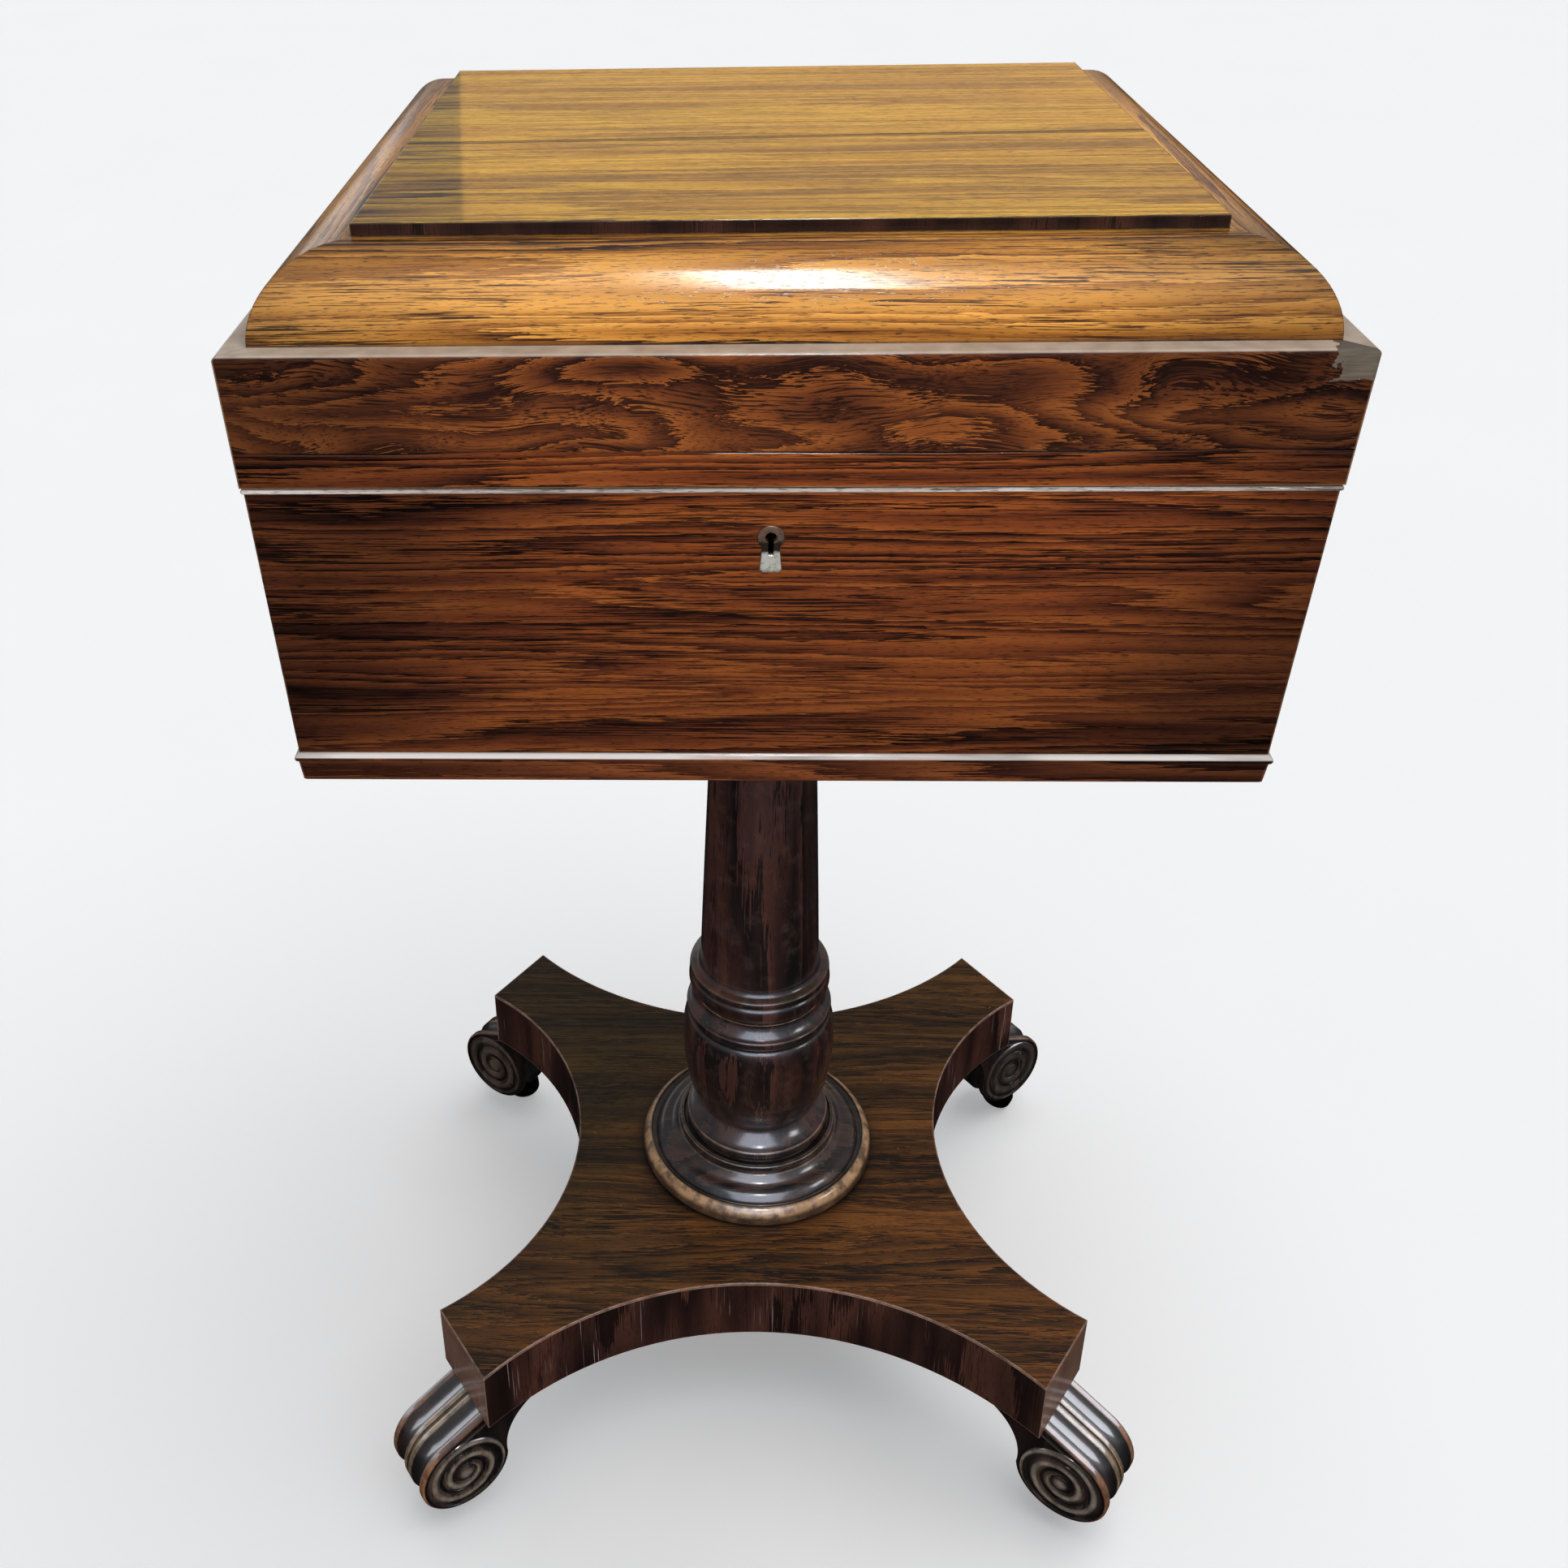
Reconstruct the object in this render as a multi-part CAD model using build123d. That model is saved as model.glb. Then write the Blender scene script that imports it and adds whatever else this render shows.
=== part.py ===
"""Teapoy: a sarcophagus-form tea chest with a hinged cushion-moulded lid, carried on a turned
column, a concave-sided platform and four reeded scroll feet on concealed castors.

Millimetres, +Z up, front towards -Y, origin on the floor under the column's axis.
"""
from build123d import *
from math import atan2, cos, degrees, hypot, radians, sin, sqrt, tan
import os

# ---------------------------------------------------------------- driving dimensions
# castors and feet
FOOT_GROUND_GAP = 19.8        # floor to the underside of the scroll
SCROLL_R = 28.8               # radius of the scroll's outline
SCROLL_OUT = 14.0             # scroll centre, outwards from the platform's cut corner
FOOT_H = 67.6                 # underside of the scroll to the underside of the platform
FOOT_WIDTH = 42.0             # across the reeds
FOOT_BRACKET = 41.0           # how far the foot's bracket reaches back under the platform
BRACKET_HOLLOW = 14.0         # depth of the hollow under the bracket, below the platform
FOOT_SETBACK = 1.0            # foot's front edge behind the face of the cut corner
BACK_ANGLE = 188              # where the scroll meets the bracket, degrees round its centre
EDGE_REED = 4.6               # width of the reed at each edge of the foot
EDGE_ROUND = 1.8              # rounding of the foot's long edges
CENTRE_REEDS = 8.4            # width over the pair of reeds down the middle
CENTRE_GROOVE = 2.2           # groove between the two middle reeds
CENTRE_GROOVE_DEPTH = 1.3
FLUTE_DEPTH = 2.0             # hollow between the middle and the edge reeds
VOLUTE_BAND = 4.0             # width of the band left round the volute's spiral channel
VOLUTE_PITCH = 6.0            # how far the channel comes in with each half turn
VOLUTE_CHANNEL = 2.4          # width of the spiral channel
VOLUTE_DEPTH = 1.5            # depth of the spiral channel
VOLUTE_TURNS = 4              # half turns of the spiral
VOLUTE_LEAD = 3.0             # top of the channel below the platform
DOWEL_R = 4.0                 # dowels that hold each foot
DOWEL_LENGTH = 26.0
DOWEL_SPACING = 20.0
DOWEL_BACK = 16.5             # dowels behind the face of the cut corner

WHEEL_R = 12.0
WHEEL_W = 8.0
WHEEL_ROUND = 1.6
WHEEL_DISH_R = 8.6            # dished face inside the wheel's rim
WHEEL_DISH = 1.2
HUB_R = 3.2
AXLE_R = 1.6
TRAIL = 7.5                   # wheel axle behind the swivel axis
HORN_R = 9.5                  # round bridge of the castor's horn
HORN_T = 2.6
CHEEK_T = 1.8
HORN_LUG = 1.8                # metal round the axle in the horn's cheeks
CHEEK_IN = 1.2                # cheeks inside the edge of the bridge, and let into it
CASTOR_PIN_R = 2.5            # swivel pin
CASTOR_HEAD_R = 4.0           # riveted head of the swivel pin
CASTOR_HEAD_T = 1.4
CASTOR_PLATE_R = 15.0
CASTOR_PLATE_T = 2.2
CASTOR_STEM_R = 4.0           # stem driven up into the foot
CASTOR_STEM = 18.0
HEADINGS = {"front_left": 70, "front_right": 110, "back_left": 12, "back_right": -32}

# platform
PLATFORM_T = 44.0
PLATFORM_VENEER = 1.6
CORNER_OUT_X, CORNER_OUT_Y = 192.0, 141.0    # cut corner, end nearer the side
CORNER_IN_X, CORNER_IN_Y = 160.0, 188.0      # cut corner, end nearer the front or back
WAIST_X, WAIST_Y = 118.5, 118.0              # middle of each concave side

# turned disc and column
TENON_R = 16.0
TENON_COVER = 9.0             # wood left under the column's lower tenon
DISC_R = 75.5
DISC_TORUS = 9.0              # height of the torus round the disc
DISC_GROOVE_R = 65.4
DISC_GROOVE_D = 1.6
DISC_GROOVE_W = 1.0
DISC_NECK_R = 48.6
DISC_NECK_H = 3.6             # ring round the top of the disc
DISC_NECK_ROUND = 0.7
OGEE_SWELL = 1.6              # how far the disc's rise swells past a straight slope
DISC_H = 24.6
RING_R = 44.0                 # the column's lower and upper rings
RING_H = 7.6
RING_OUT = 2.4                # how far the rings stand out
HOLLOW_R = 36.3               # hollow neck over the lower ring
HOLLOW_H = 14.8
BULB_R = 46.6
BULB_H = 69.5
BULB_MID = 0.475              # height of the bulb's widest place, as a part of its own height
NECK_H = 13.4
NECK_DEPTH = 1.2
COLLAR_R = 43.6
COLLAR_H = 15.1
COLLAR_MID = 7.0
COVE_STEP = 1.4               # small step in from the collar to the cove
COVE_FILLET = 2.0
COVE_H = 25.4                 # cove from the collar up to the shaft
SHAFT_FOOT_R = 35.7
SHAFT_TOP_R = 27.8
ASTRAGAL_H = 6.8              # small bead at the top of the shaft
ASTRAGAL_OUT = 3.4
CAP_R = 38.0
CAP_H = 10.0
CAP_HOLLOW = 2.4              # hollow under the cap
CAP_NECK_H = 24.0             # from the top of the shaft to the bearer
TOP_TENON_R = 14.0
BEARER_X, BEARER_Y, BEARER_T = 200.0, 190.0, 18.0
BEARER_ROUND = 6.0
SCREW_R = 2.0
SCREW_HEAD_R = 4.2
SCREW_HEAD_T = 2.6
SCREW_BITE = 10.0             # how far the bearer screws reach into the bottom board
BEARER_SCREW_IN = 18.0        # bearer screws in from the bearer's edges

# box
STAND_H = 419.0               # top of the platform to the underside of the box
BASE_BAND_H = 10.6            # band under the bead
BASE_BEAD_H = 4.6
BASE_BEAD_OUT = 1.9           # the bead's projection from the body
BAND_OUT = 0.6                # top of the band outside the body's foot
BAND_IN = 0.4                 # foot of the band inside it
BAND_ROUND = 1.0
MOULDING_T = 6.0              # the moulding planted round the edge of the bottom board
BODY_H = 128.0
SIDE_SLOPE = 2.5              # lean of the sides, degrees
BODY_WALL = 14.0
RIM_BEAD_H = 2.6
RIM_BEAD_OUT = 0.9
RIM_BEAD_IN = 1.6
JOINT_STEP = 1.2              # lid wider than the body, each side
JOINT_GAP = 0.3               # daylight between the lid and the body

# lid
LID_WIDTH = 438.0             # at the lid's shoulder
LID_DEPTH = 418.0
FRIEZE_H = 55.3
LID_WALL = 18.0
FRIEZE_ROUND = 1.8            # rounded upper arris of the frieze
LEDGE = 11.0                  # flat shoulder outside the cushion moulding
CUSHION_R = 32.4
CUSHION_SECTION = 49.0        # width of the cushion moulding's section
CUSHION_LEG = 16.0            # width of its foot, rebated behind so the lid is hollow
TOP_MARGIN = 4.6              # flat strip between the cushion and the top panel
TOP_PANEL_T = 5.4
TOP_PANEL_ROUND = 0.7
TOP_BOARD_T = 20.0

# lid hinges
HINGE_X = 125.0
HINGE_LENGTH = 50.0
HINGE_LEAF = 15.0
HINGE_LEAF_T = 2.0
HINGE_BARREL_R = 2.6
HINGE_OUT = 0.8               # hinge axis behind the lid's back face
HINGE_PIN_R = 1.3
HINGE_KNUCKLES = 5
HINGE_TONGUE = 2.0            # knuckle tongues start this far inside the leaf
HINGE_SCREWS = 3
HINGE_SCREW_R = 1.4
HINGE_SCREW_HEAD_R = 2.8
HINGE_SCREW_L = 12.0
BARREL_ROOM = 0.5             # wood cut away round the barrel

# lock
LOCK_X = -5.0
LOCK_HALF = 30.0
LOCK_H = 36.0
LOCK_WALL = 1.3
LOCK_CHAMBER = 6.8            # front-to-back size of the bolt's chamber
SELVEDGE_T = 1.6
SELVEDGE_HALF = 33.0
SELVEDGE_LIP = 1.2            # top plate wider than the case at the front
LOCK_END = 3.0                # solid ends of the case
STAPLE_X = 13.0
STAPLE_T = 2.4
STAPLE_W = 5.2
STAPLE_L = 15.5
STAPLE_EYE_W = 3.0
STAPLE_EYE_H = 4.5
STAPLE_EYE_LOW = 2.0          # metal under the eye
STAPLE_PLAY = 0.9             # room each side of a staple in the top plate
BOLT_THROW = 5.0
BOLT_W = 4.4
BOLT_H = 4.6
BOLT_UNDER = 1.4              # bolt bar below the staples
LUG_L = 3.0                   # lugs on the bolt that carry the fingers
FINGER_W = 1.9
FINGER_H = 2.7
FINGER_GAP = 0.6              # fingers short of the staples when drawn back
STRIKE_HALF = 24.0
STRIKE_T = 1.6
KEYHOLE_DROP = 22.6           # joint to the centre of the keyhole's round part
KEYHOLE_R = 2.4
KEYHOLE_SLOT_W = 2.2
KEYHOLE_SLOT_L = 8.0
ESCUTCHEON_R = 5.3
ESCUTCHEON_TAIL = 15.7
ESCUTCHEON_TAIL_W = 8.6
ESCUTCHEON_CUT = 1.2
ESCUTCHEON_T = 1.6
ESCUTCHEON_PROUD = 0.3

# interior
BAY_HALF = 112.0              # half the width of the middle bay, between the canisters
CANISTER_REVEAL = 7.0         # tops of the canisters below the joint
CANISTER_GAP = 4.6            # between the front and back canisters
CANISTER_WALL = 5.0
CANISTER_FLOOR = 5.0
LINING_T = 0.6
LINING_REVEAL = 2.0           # top of the lining below the lid
CAN_LID_T = 6.0
CAN_LID_GAP = 0.4
CAN_LEDGE = 2.2
KNOB_R = 5.6                  # ball of the knob
KNOB_NECK_R = 3.0
KNOB_BASE_R = 5.0
KNOB_H = 13.0
LID_PIN_R = 1.25
LID_PIN_L = 9.0
LID_PIN_COVER = 1.0           # wood left over the end of each pin
DIVIDER_T = 6.0
DECK_REVEAL = 9.0             # top of the deck below the joint
DECK_T = 8.0
BOWL_R = 70.0
BOWL_RIM_OUT = 5.0
BOWL_RIM_T = 3.0
BOWL_BELLY_R = 60.0           # widest curve of the bowl, a third of the way up
BOWL_FOOT_R = 34.0
BOWL_FOOT_H = 3.0
BOWL_DEPTH = 100.0
BOWL_WALL = 4.0

# clearances
RUN = 0.3                     # running gap between moving pieces
FIT = 0.05                    # radial clearance of a pin in its bore
SEAT = 0.3                    # small gap beside a piece that is set in
DROP_IN = 1.0                 # gap round a piece that lifts out
PAST = 1.0                    # how far a cut runs past the face it cuts

# ---------------------------------------------------------------- levels and half sizes
SCROLL_Z = FOOT_GROUND_GAP + SCROLL_R
PLATFORM_BOTTOM = FOOT_GROUND_GAP + FOOT_H
PLATFORM_TOP = PLATFORM_BOTTOM + PLATFORM_T
BOX_BOTTOM = PLATFORM_TOP + STAND_H
HORN_LOW = 2 * WHEEL_R + CASTOR_HEAD_T + 2 * RUN
POCKET_TOP = HORN_LOW + HORN_T + RUN
POCKET_REACH = TRAIL + sqrt(WHEEL_R ** 2 - (FOOT_GROUND_GAP - WHEEL_R) ** 2)
POCKET_R = hypot(POCKET_REACH, WHEEL_W / 2) + 2 * RUN
TENON_END = PLATFORM_BOTTOM + TENON_COVER
DISC_TOP = PLATFORM_TOP + DISC_H
SHOULDER = BOX_BOTTOM - BEARER_T
BODY_BOTTOM = BOX_BOTTOM + BASE_BAND_H + BASE_BEAD_H
JOINT = BODY_BOTTOM + BODY_H
KEYHOLE_Z = JOINT - KEYHOLE_DROP
LID_BOTTOM = JOINT + JOINT_GAP
FRIEZE_TOP = LID_BOTTOM + FRIEZE_H
CUSHION_TOP = FRIEZE_TOP + CUSHION_R
LID_CEILING = CUSHION_TOP - TOP_BOARD_T          # underside of the lid's top
TOTAL_H = CUSHION_TOP + TOP_PANEL_T
LEAN = tan(radians(SIDE_SLOPE))
LID_HX, LID_HY = LID_WIDTH / 2, LID_DEPTH / 2
JOINT_IN = FRIEZE_H * LEAN                       # the lid's bottom edge inside its shoulder
BODY_IN = JOINT_IN + JOINT_STEP                  # the body's top edge inside the lid's shoulder
BODY_FOOT_IN = BODY_IN + BODY_H * LEAN           # the body's bottom edge
TOP_IN = LEDGE + CUSHION_R + TOP_MARGIN
HINGE_AXIS_Y = LID_HY - JOINT_IN + HINGE_OUT
HINGE_AXIS_Z = (JOINT + LID_BOTTOM) / 2
LOCK_Y = -(LID_HY - BODY_IN - BODY_WALL) - LOCK_WALL - LOCK_CHAMBER / 2
ROOM_X = LID_HX - BODY_FOOT_IN - BODY_WALL - SEAT          # half the room inside, at the floor
ROOM_Y = LID_HY - BODY_FOOT_IN - BODY_WALL - SEAT
CANISTER_TOP = JOINT - CANISTER_REVEAL
CAN_AXIS_Z = CANISTER_TOP - CAN_LID_T / 2
CAN_AXIS_X = BAY_HALF + RUN + CAN_LID_T / 2
DECK_TOP = JOINT - DECK_REVEAL
BOWL_Y = ROOM_Y / 2
BOWL_HOLE_R = BOWL_R + DROP_IN

CORNERS = {"front_left": (-1, -1), "front_right": (1, -1), "back_left": (-1, 1), "back_right": (1, 1)}
parts = {}


# ---------------------------------------------------------------- helpers
def box(x0, x1, y0, y1, z0, z1):
    """A block between two corners."""
    return Pos((x0 + x1) / 2, (y0 + y1) / 2, (z0 + z1) / 2) * Box(x1 - x0, y1 - y0, z1 - z0)


def rod(r, z0, z1, x=0.0, y=0.0):
    """An upright cylinder between two heights."""
    return Pos(x, y, (z0 + z1) / 2) * Cylinder(r, z1 - z0)


def rod_x(r, x0, x1, y=0.0, z=0.0):
    """A cylinder lying along X."""
    return Pos((x0 + x1) / 2, y, z) * Rot(0, 90, 0) * Cylinder(r, x1 - x0)


def rod_y(r, y0, y1, x=0.0, z=0.0):
    """A cylinder lying along Y."""
    return Pos(x, (y0 + y1) / 2, z) * Rot(90, 0, 0) * Cylinder(r, y1 - y0)


def solids(shape):
    """The separate solids of a shape."""
    return list(shape.solids())


def group(items):
    """Several loose solids as one compound."""
    return Compound(children=[s for item in items for s in solids(item)])


def turned(edges):
    """A turning: a closed outline in radius and height, revolved round Z."""
    profile = Plane.XZ * make_face(edges)
    return revolve(profile, Axis.Z)


def side_plane(side):
    """Working plane of one side of the box: x outwards, y up, at the lid shoulder's half size."""
    out = {"front": (0, -1), "back": (0, 1), "left": (-1, 0), "right": (1, 0)}[side]
    origin = (out[0] * LID_HX, out[1] * LID_HY, 0)
    return Plane(origin=origin, x_dir=(out[0], out[1], 0), z_dir=(out[1], -out[0], 0))


def mitre_wedge(side):
    """The quarter of the plan that belongs to one side, bounded by the 45 degree mitres."""
    ridge = LID_HX - LID_HY
    reach = LID_WIDTH
    if side in ("front", "back"):
        points = [(-ridge, 0), (ridge, 0), (ridge + reach, -reach), (-ridge - reach, -reach)]
    else:
        points = [(-ridge, 0), (-ridge - reach, reach), (-ridge - reach, -reach)]
    wedge = extrude(make_face(Polyline(*points, close=True)), 2 * TOTAL_H)
    return wedge if side in ("front", "left") else Rot(0, 0, 180) * wedge


def mitred(outline):
    """Four lengths of one section, mitred at the corners. The section is an outline of
    (outwards, height) from the lid's shoulder."""
    lengths = {}
    for side in ("front", "back", "left", "right"):
        section = side_plane(side) * make_face(outline)
        run = extrude(section, LID_WIDTH, both=True)
        lengths[side] = run & mitre_wedge(side)
    return lengths


# ---------------------------------------------------------------- platform
def platform_plan():
    """Outline of the platform: four concave sides between four cut corners."""
    a, b, c, d = CORNER_OUT_X, CORNER_OUT_Y, CORNER_IN_X, CORNER_IN_Y
    return [
        ThreePointArc((-c, -d), (0, -WAIST_Y), (c, -d)),
        Line((c, -d), (a, -b)),
        ThreePointArc((a, -b), (WAIST_X, 0), (a, b)),
        Line((a, b), (c, d)),
        ThreePointArc((c, d), (0, WAIST_Y), (-c, d)),
        Line((-c, d), (-a, b)),
        ThreePointArc((-a, b), (-WAIST_X, 0), (-a, -b)),
        Line((-a, -b), (-c, -d)),
    ]


def at_corner(shape, corner):
    """Move a foot-frame shape (x outwards from the cut corner, y along it) to one corner."""
    sx, sy = CORNERS[corner]
    mid_x = (CORNER_OUT_X + CORNER_IN_X) / 2
    mid_y = (CORNER_OUT_Y + CORNER_IN_Y) / 2
    turn = degrees(atan2(CORNER_OUT_X - CORNER_IN_X, CORNER_IN_Y - CORNER_OUT_Y))
    angle = atan2(sy * sin(radians(turn)), sx * cos(radians(turn)))
    return Pos(sx * mid_x, sy * mid_y, 0) * Rot(0, 0, degrees(angle)) * shape


def foot_dowels():
    """Two dowels of one foot, half in the foot and half in the platform."""
    low = PLATFORM_BOTTOM - DOWEL_LENGTH / 2
    return [rod(DOWEL_R, low, low + DOWEL_LENGTH, -DOWEL_BACK, side * DOWEL_SPACING / 2) for side in (-1, 1)]


def make_platform():
    plan = make_face(platform_plan())
    split_z = PLATFORM_TOP - PLATFORM_VENEER
    core = Pos(0, 0, PLATFORM_BOTTOM) * extrude(plan, split_z - PLATFORM_BOTTOM)
    veneer = Pos(0, 0, split_z) * extrude(plan, PLATFORM_VENEER)
    core -= rod(TENON_R, TENON_END, PLATFORM_TOP)
    veneer -= rod(TENON_R, TENON_END, PLATFORM_TOP)
    for corner in CORNERS:
        for dowel in foot_dowels():
            core -= at_corner(dowel, corner)
    parts["platform_core"] = core
    parts["platform_top_veneer"] = veneer


# ---------------------------------------------------------------- scroll feet
def tangent_point(px, pz, cx, cz, r):
    """Where the outer tangent from a point meets the scroll's circle."""
    dx, dz = cx - px, cz - pz
    far = hypot(dx, dz)
    angle = atan2(dz, dx) + atan2(r, sqrt(far * far - r * r))
    reach = sqrt(far * far - r * r)
    return px + reach * cos(angle), pz + reach * sin(angle)


def foot_outline():
    """Side view of the foot: straight front running into the scroll, and a hollow bracket behind."""
    r = SCROLL_R
    start = (-FOOT_SETBACK, PLATFORM_BOTTOM)
    touch = tangent_point(*start, SCROLL_OUT, SCROLL_Z, r)
    bottom = (SCROLL_OUT, SCROLL_Z - r)
    back_angle = radians(BACK_ANGLE)
    back = (SCROLL_OUT + r * cos(back_angle), SCROLL_Z + r * sin(back_angle))
    heel = (-FOOT_BRACKET, PLATFORM_BOTTOM)
    outer = (SCROLL_OUT + r * cos(radians(-5)), SCROLL_Z + r * sin(radians(-5)))
    low_back = (SCROLL_OUT + r * cos(radians(230)), SCROLL_Z + r * sin(radians(230)))
    hollow = (-FOOT_BRACKET / 2, PLATFORM_BOTTOM - BRACKET_HOLLOW)
    return [
        Line(start, touch),
        ThreePointArc(touch, outer, bottom),
        ThreePointArc(bottom, low_back, back),
        ThreePointArc(back, hollow, heel),
        Line(heel, start),
    ]


def round_front(foot):
    """Round the long edges of the foot's front and scroll."""
    half = FOOT_WIDTH / 2
    edges = [e for e in foot.edges() if abs(abs(e.center().Y) - half) < 1e-4]
    edges = [e for e in edges if e.center().X > SCROLL_OUT / 3]
    return fillet(edges, EDGE_ROUND)


def flute(y, width, depth):
    """Shallow cove running down the foot's front and round the scroll, to be cut away."""
    top = (-FOOT_SETBACK, PLATFORM_BOTTOM)
    touch = tangent_point(*top, SCROLL_OUT, SCROLL_Z, SCROLL_R)
    far = PAST
    section = make_face([
        ThreePointArc((-width / 2, 0), (0, -depth), (width / 2, 0)),
        Line((width / 2, 0), (width / 2, far)),
        Line((width / 2, far), (-width / 2, far)),
        Line((-width / 2, far), (-width / 2, 0)),
    ])
    along = Vector(touch[0] - top[0], 0, touch[1] - top[1])
    outwards = Vector(-along.Z, 0, along.X).normalized()
    start = Plane(origin=(touch[0], y, touch[1]), x_dir=(0, 1, 0), z_dir=along.normalized())
    if start.y_dir.dot(outwards) < 0:
        start = Plane(origin=(touch[0], y, touch[1]), x_dir=(0, -1, 0), z_dir=along.normalized())
    straight = extrude(start * section, -along.length - far)
    turn = degrees(atan2(touch[1] - SCROLL_Z, touch[0] - SCROLL_OUT)) + 360 - BACK_ANGLE
    curl = revolve(start * section, Axis((SCROLL_OUT, y, SCROLL_Z), (0, 1, 0)), turn)
    return straight + curl


def volute_channel():
    """Centre line of the channel on the foot's cheek: down the neck, then half turns winding in."""
    r = SCROLL_R - VOLUTE_BAND
    start = (-FOOT_SETBACK - 1.6 * VOLUTE_BAND, PLATFORM_BOTTOM - VOLUTE_LEAD)
    touch = tangent_point(*start, SCROLL_OUT, SCROLL_Z, r)
    outer = (SCROLL_OUT + r * cos(radians(-8)), SCROLL_Z + r * sin(radians(-8)))
    low = (SCROLL_OUT, SCROLL_Z - r)
    lines = [Line(start, touch), ThreePointArc(touch, outer, low)]
    point, heading = low, 1
    for turn in range(VOLUTE_TURNS):
        r -= VOLUTE_PITCH / 2
        end = (point[0], point[1] + heading * 2 * r)
        side = (point[0] - heading * r, point[1] + heading * r)
        lines.append(ThreePointArc(point, side, end))
        point, heading = end, -heading
    return lines


def make_feet():
    half = FOOT_WIDTH / 2
    face = Plane.XZ * make_face(foot_outline())
    foot = round_front(Pos(0, half, 0) * extrude(face, FOOT_WIDTH))
    hollow = half - EDGE_REED - CENTRE_REEDS / 2
    for side in (-1, 1):
        foot -= flute(side * (CENTRE_REEDS + hollow) / 2, hollow, FLUTE_DEPTH)
    foot -= flute(0, CENTRE_GROOVE, CENTRE_GROOVE_DEPTH)
    stroke = trace(volute_channel(), VOLUTE_CHANNEL)
    cutter = Plane.XZ * stroke
    foot -= Pos(0, -half + VOLUTE_DEPTH, 0) * extrude(cutter, VOLUTE_DEPTH + PAST)
    foot -= Pos(0, half + PAST, 0) * extrude(cutter, VOLUTE_DEPTH + PAST)
    foot -= rod(POCKET_R, 0, POCKET_TOP, SCROLL_OUT)
    foot -= rod(CASTOR_PLATE_R, 0, POCKET_TOP + CASTOR_PLATE_T, SCROLL_OUT)
    foot -= rod(CASTOR_STEM_R, 0, POCKET_TOP + CASTOR_PLATE_T + CASTOR_STEM, SCROLL_OUT)
    for dowel in foot_dowels():
        foot -= dowel
    for corner in CORNERS:
        parts[f"scroll_foot_{corner}"] = at_corner(foot, corner)
    parts["foot_dowels"] = group([at_corner(d, corner) for corner in CORNERS for d in foot_dowels()])


# ---------------------------------------------------------------- castors
def castor_plate():
    """Fixed plate with its stem above and the riveted swivel pin below."""
    top = POCKET_TOP + CASTOR_PLATE_T
    head_top = HORN_LOW - RUN
    plate = rod(CASTOR_PLATE_R, POCKET_TOP, top, SCROLL_OUT)
    plate += rod(CASTOR_STEM_R, top, top + CASTOR_STEM, SCROLL_OUT)
    plate += rod(CASTOR_PIN_R, head_top, POCKET_TOP, SCROLL_OUT)
    plate += rod(CASTOR_HEAD_R, head_top - CASTOR_HEAD_T, head_top, SCROLL_OUT)
    return plate


def castor_fork():
    """Horn, swivel axis at the origin: a round bridge on the swivel pin, and two cheeks that
    carry the axle."""
    top = HORN_LOW + HORN_T
    bridge = rod(HORN_R, HORN_LOW, top)
    gap = WHEEL_W / 2 + RUN
    lug = AXLE_R + HORN_LUG
    root = HORN_LOW + CHEEK_IN
    cheek_face = make_face(Polyline(
        (HORN_R - CHEEK_IN, root), (-HORN_R / 3, root), (TRAIL - lug, WHEEL_R),
        (TRAIL - lug / 2, WHEEL_R - lug), (TRAIL + lug / 2, WHEEL_R - lug),
        (TRAIL + lug, WHEEL_R), close=True))
    fork = bridge
    for face_y in (-gap, gap + CHEEK_T):
        fork += Pos(0, face_y, 0) * extrude(Plane.XZ * cheek_face, CHEEK_T)
    fork -= rod(CASTOR_PIN_R + FIT, 0, top + PAST)
    fork -= rod_y(AXLE_R, -FOOT_WIDTH, FOOT_WIDTH, TRAIL, WHEEL_R)
    axle = rod_y(AXLE_R, -gap - CHEEK_T, gap + CHEEK_T, TRAIL, WHEEL_R)
    return group([fork, axle])


def castor_wheel():
    """Wheel with a rounded rim and dished faces, bored for the axle."""
    half = WHEEL_W / 2
    wheel = rod_y(WHEEL_R, -half, half, TRAIL, WHEEL_R)
    wheel = fillet(wheel.edges().filter_by(GeomType.CIRCLE), WHEEL_ROUND)
    hub = rod_y(HUB_R, -half, half, TRAIL, WHEEL_R)
    for y0, y1 in ((-half, -half + WHEEL_DISH), (half - WHEEL_DISH, half)):
        wheel -= rod_y(WHEEL_DISH_R, y0, y1, TRAIL, WHEEL_R) - hub
    return wheel - rod_y(AXLE_R + FIT, -WHEEL_W, WHEEL_W, TRAIL, WHEEL_R)


def make_castors():
    """Each castor stands at the heading, in degrees from +X, in which its wheel was left trailing."""
    parts["castor_plates"] = group([at_corner(castor_plate(), corner) for corner in CORNERS])
    for corner, heading in HEADINGS.items():
        swivel = at_corner(Pos(SCROLL_OUT, 0, 0) * Box(1, 1, 1), corner).center()
        place = Pos(swivel.X, swivel.Y, 0) * Rot(0, 0, heading)
        parts[f"castor_fork_{corner}"] = place * castor_fork()
        parts[f"castor_wheel_{corner}"] = place * castor_wheel()


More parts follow.
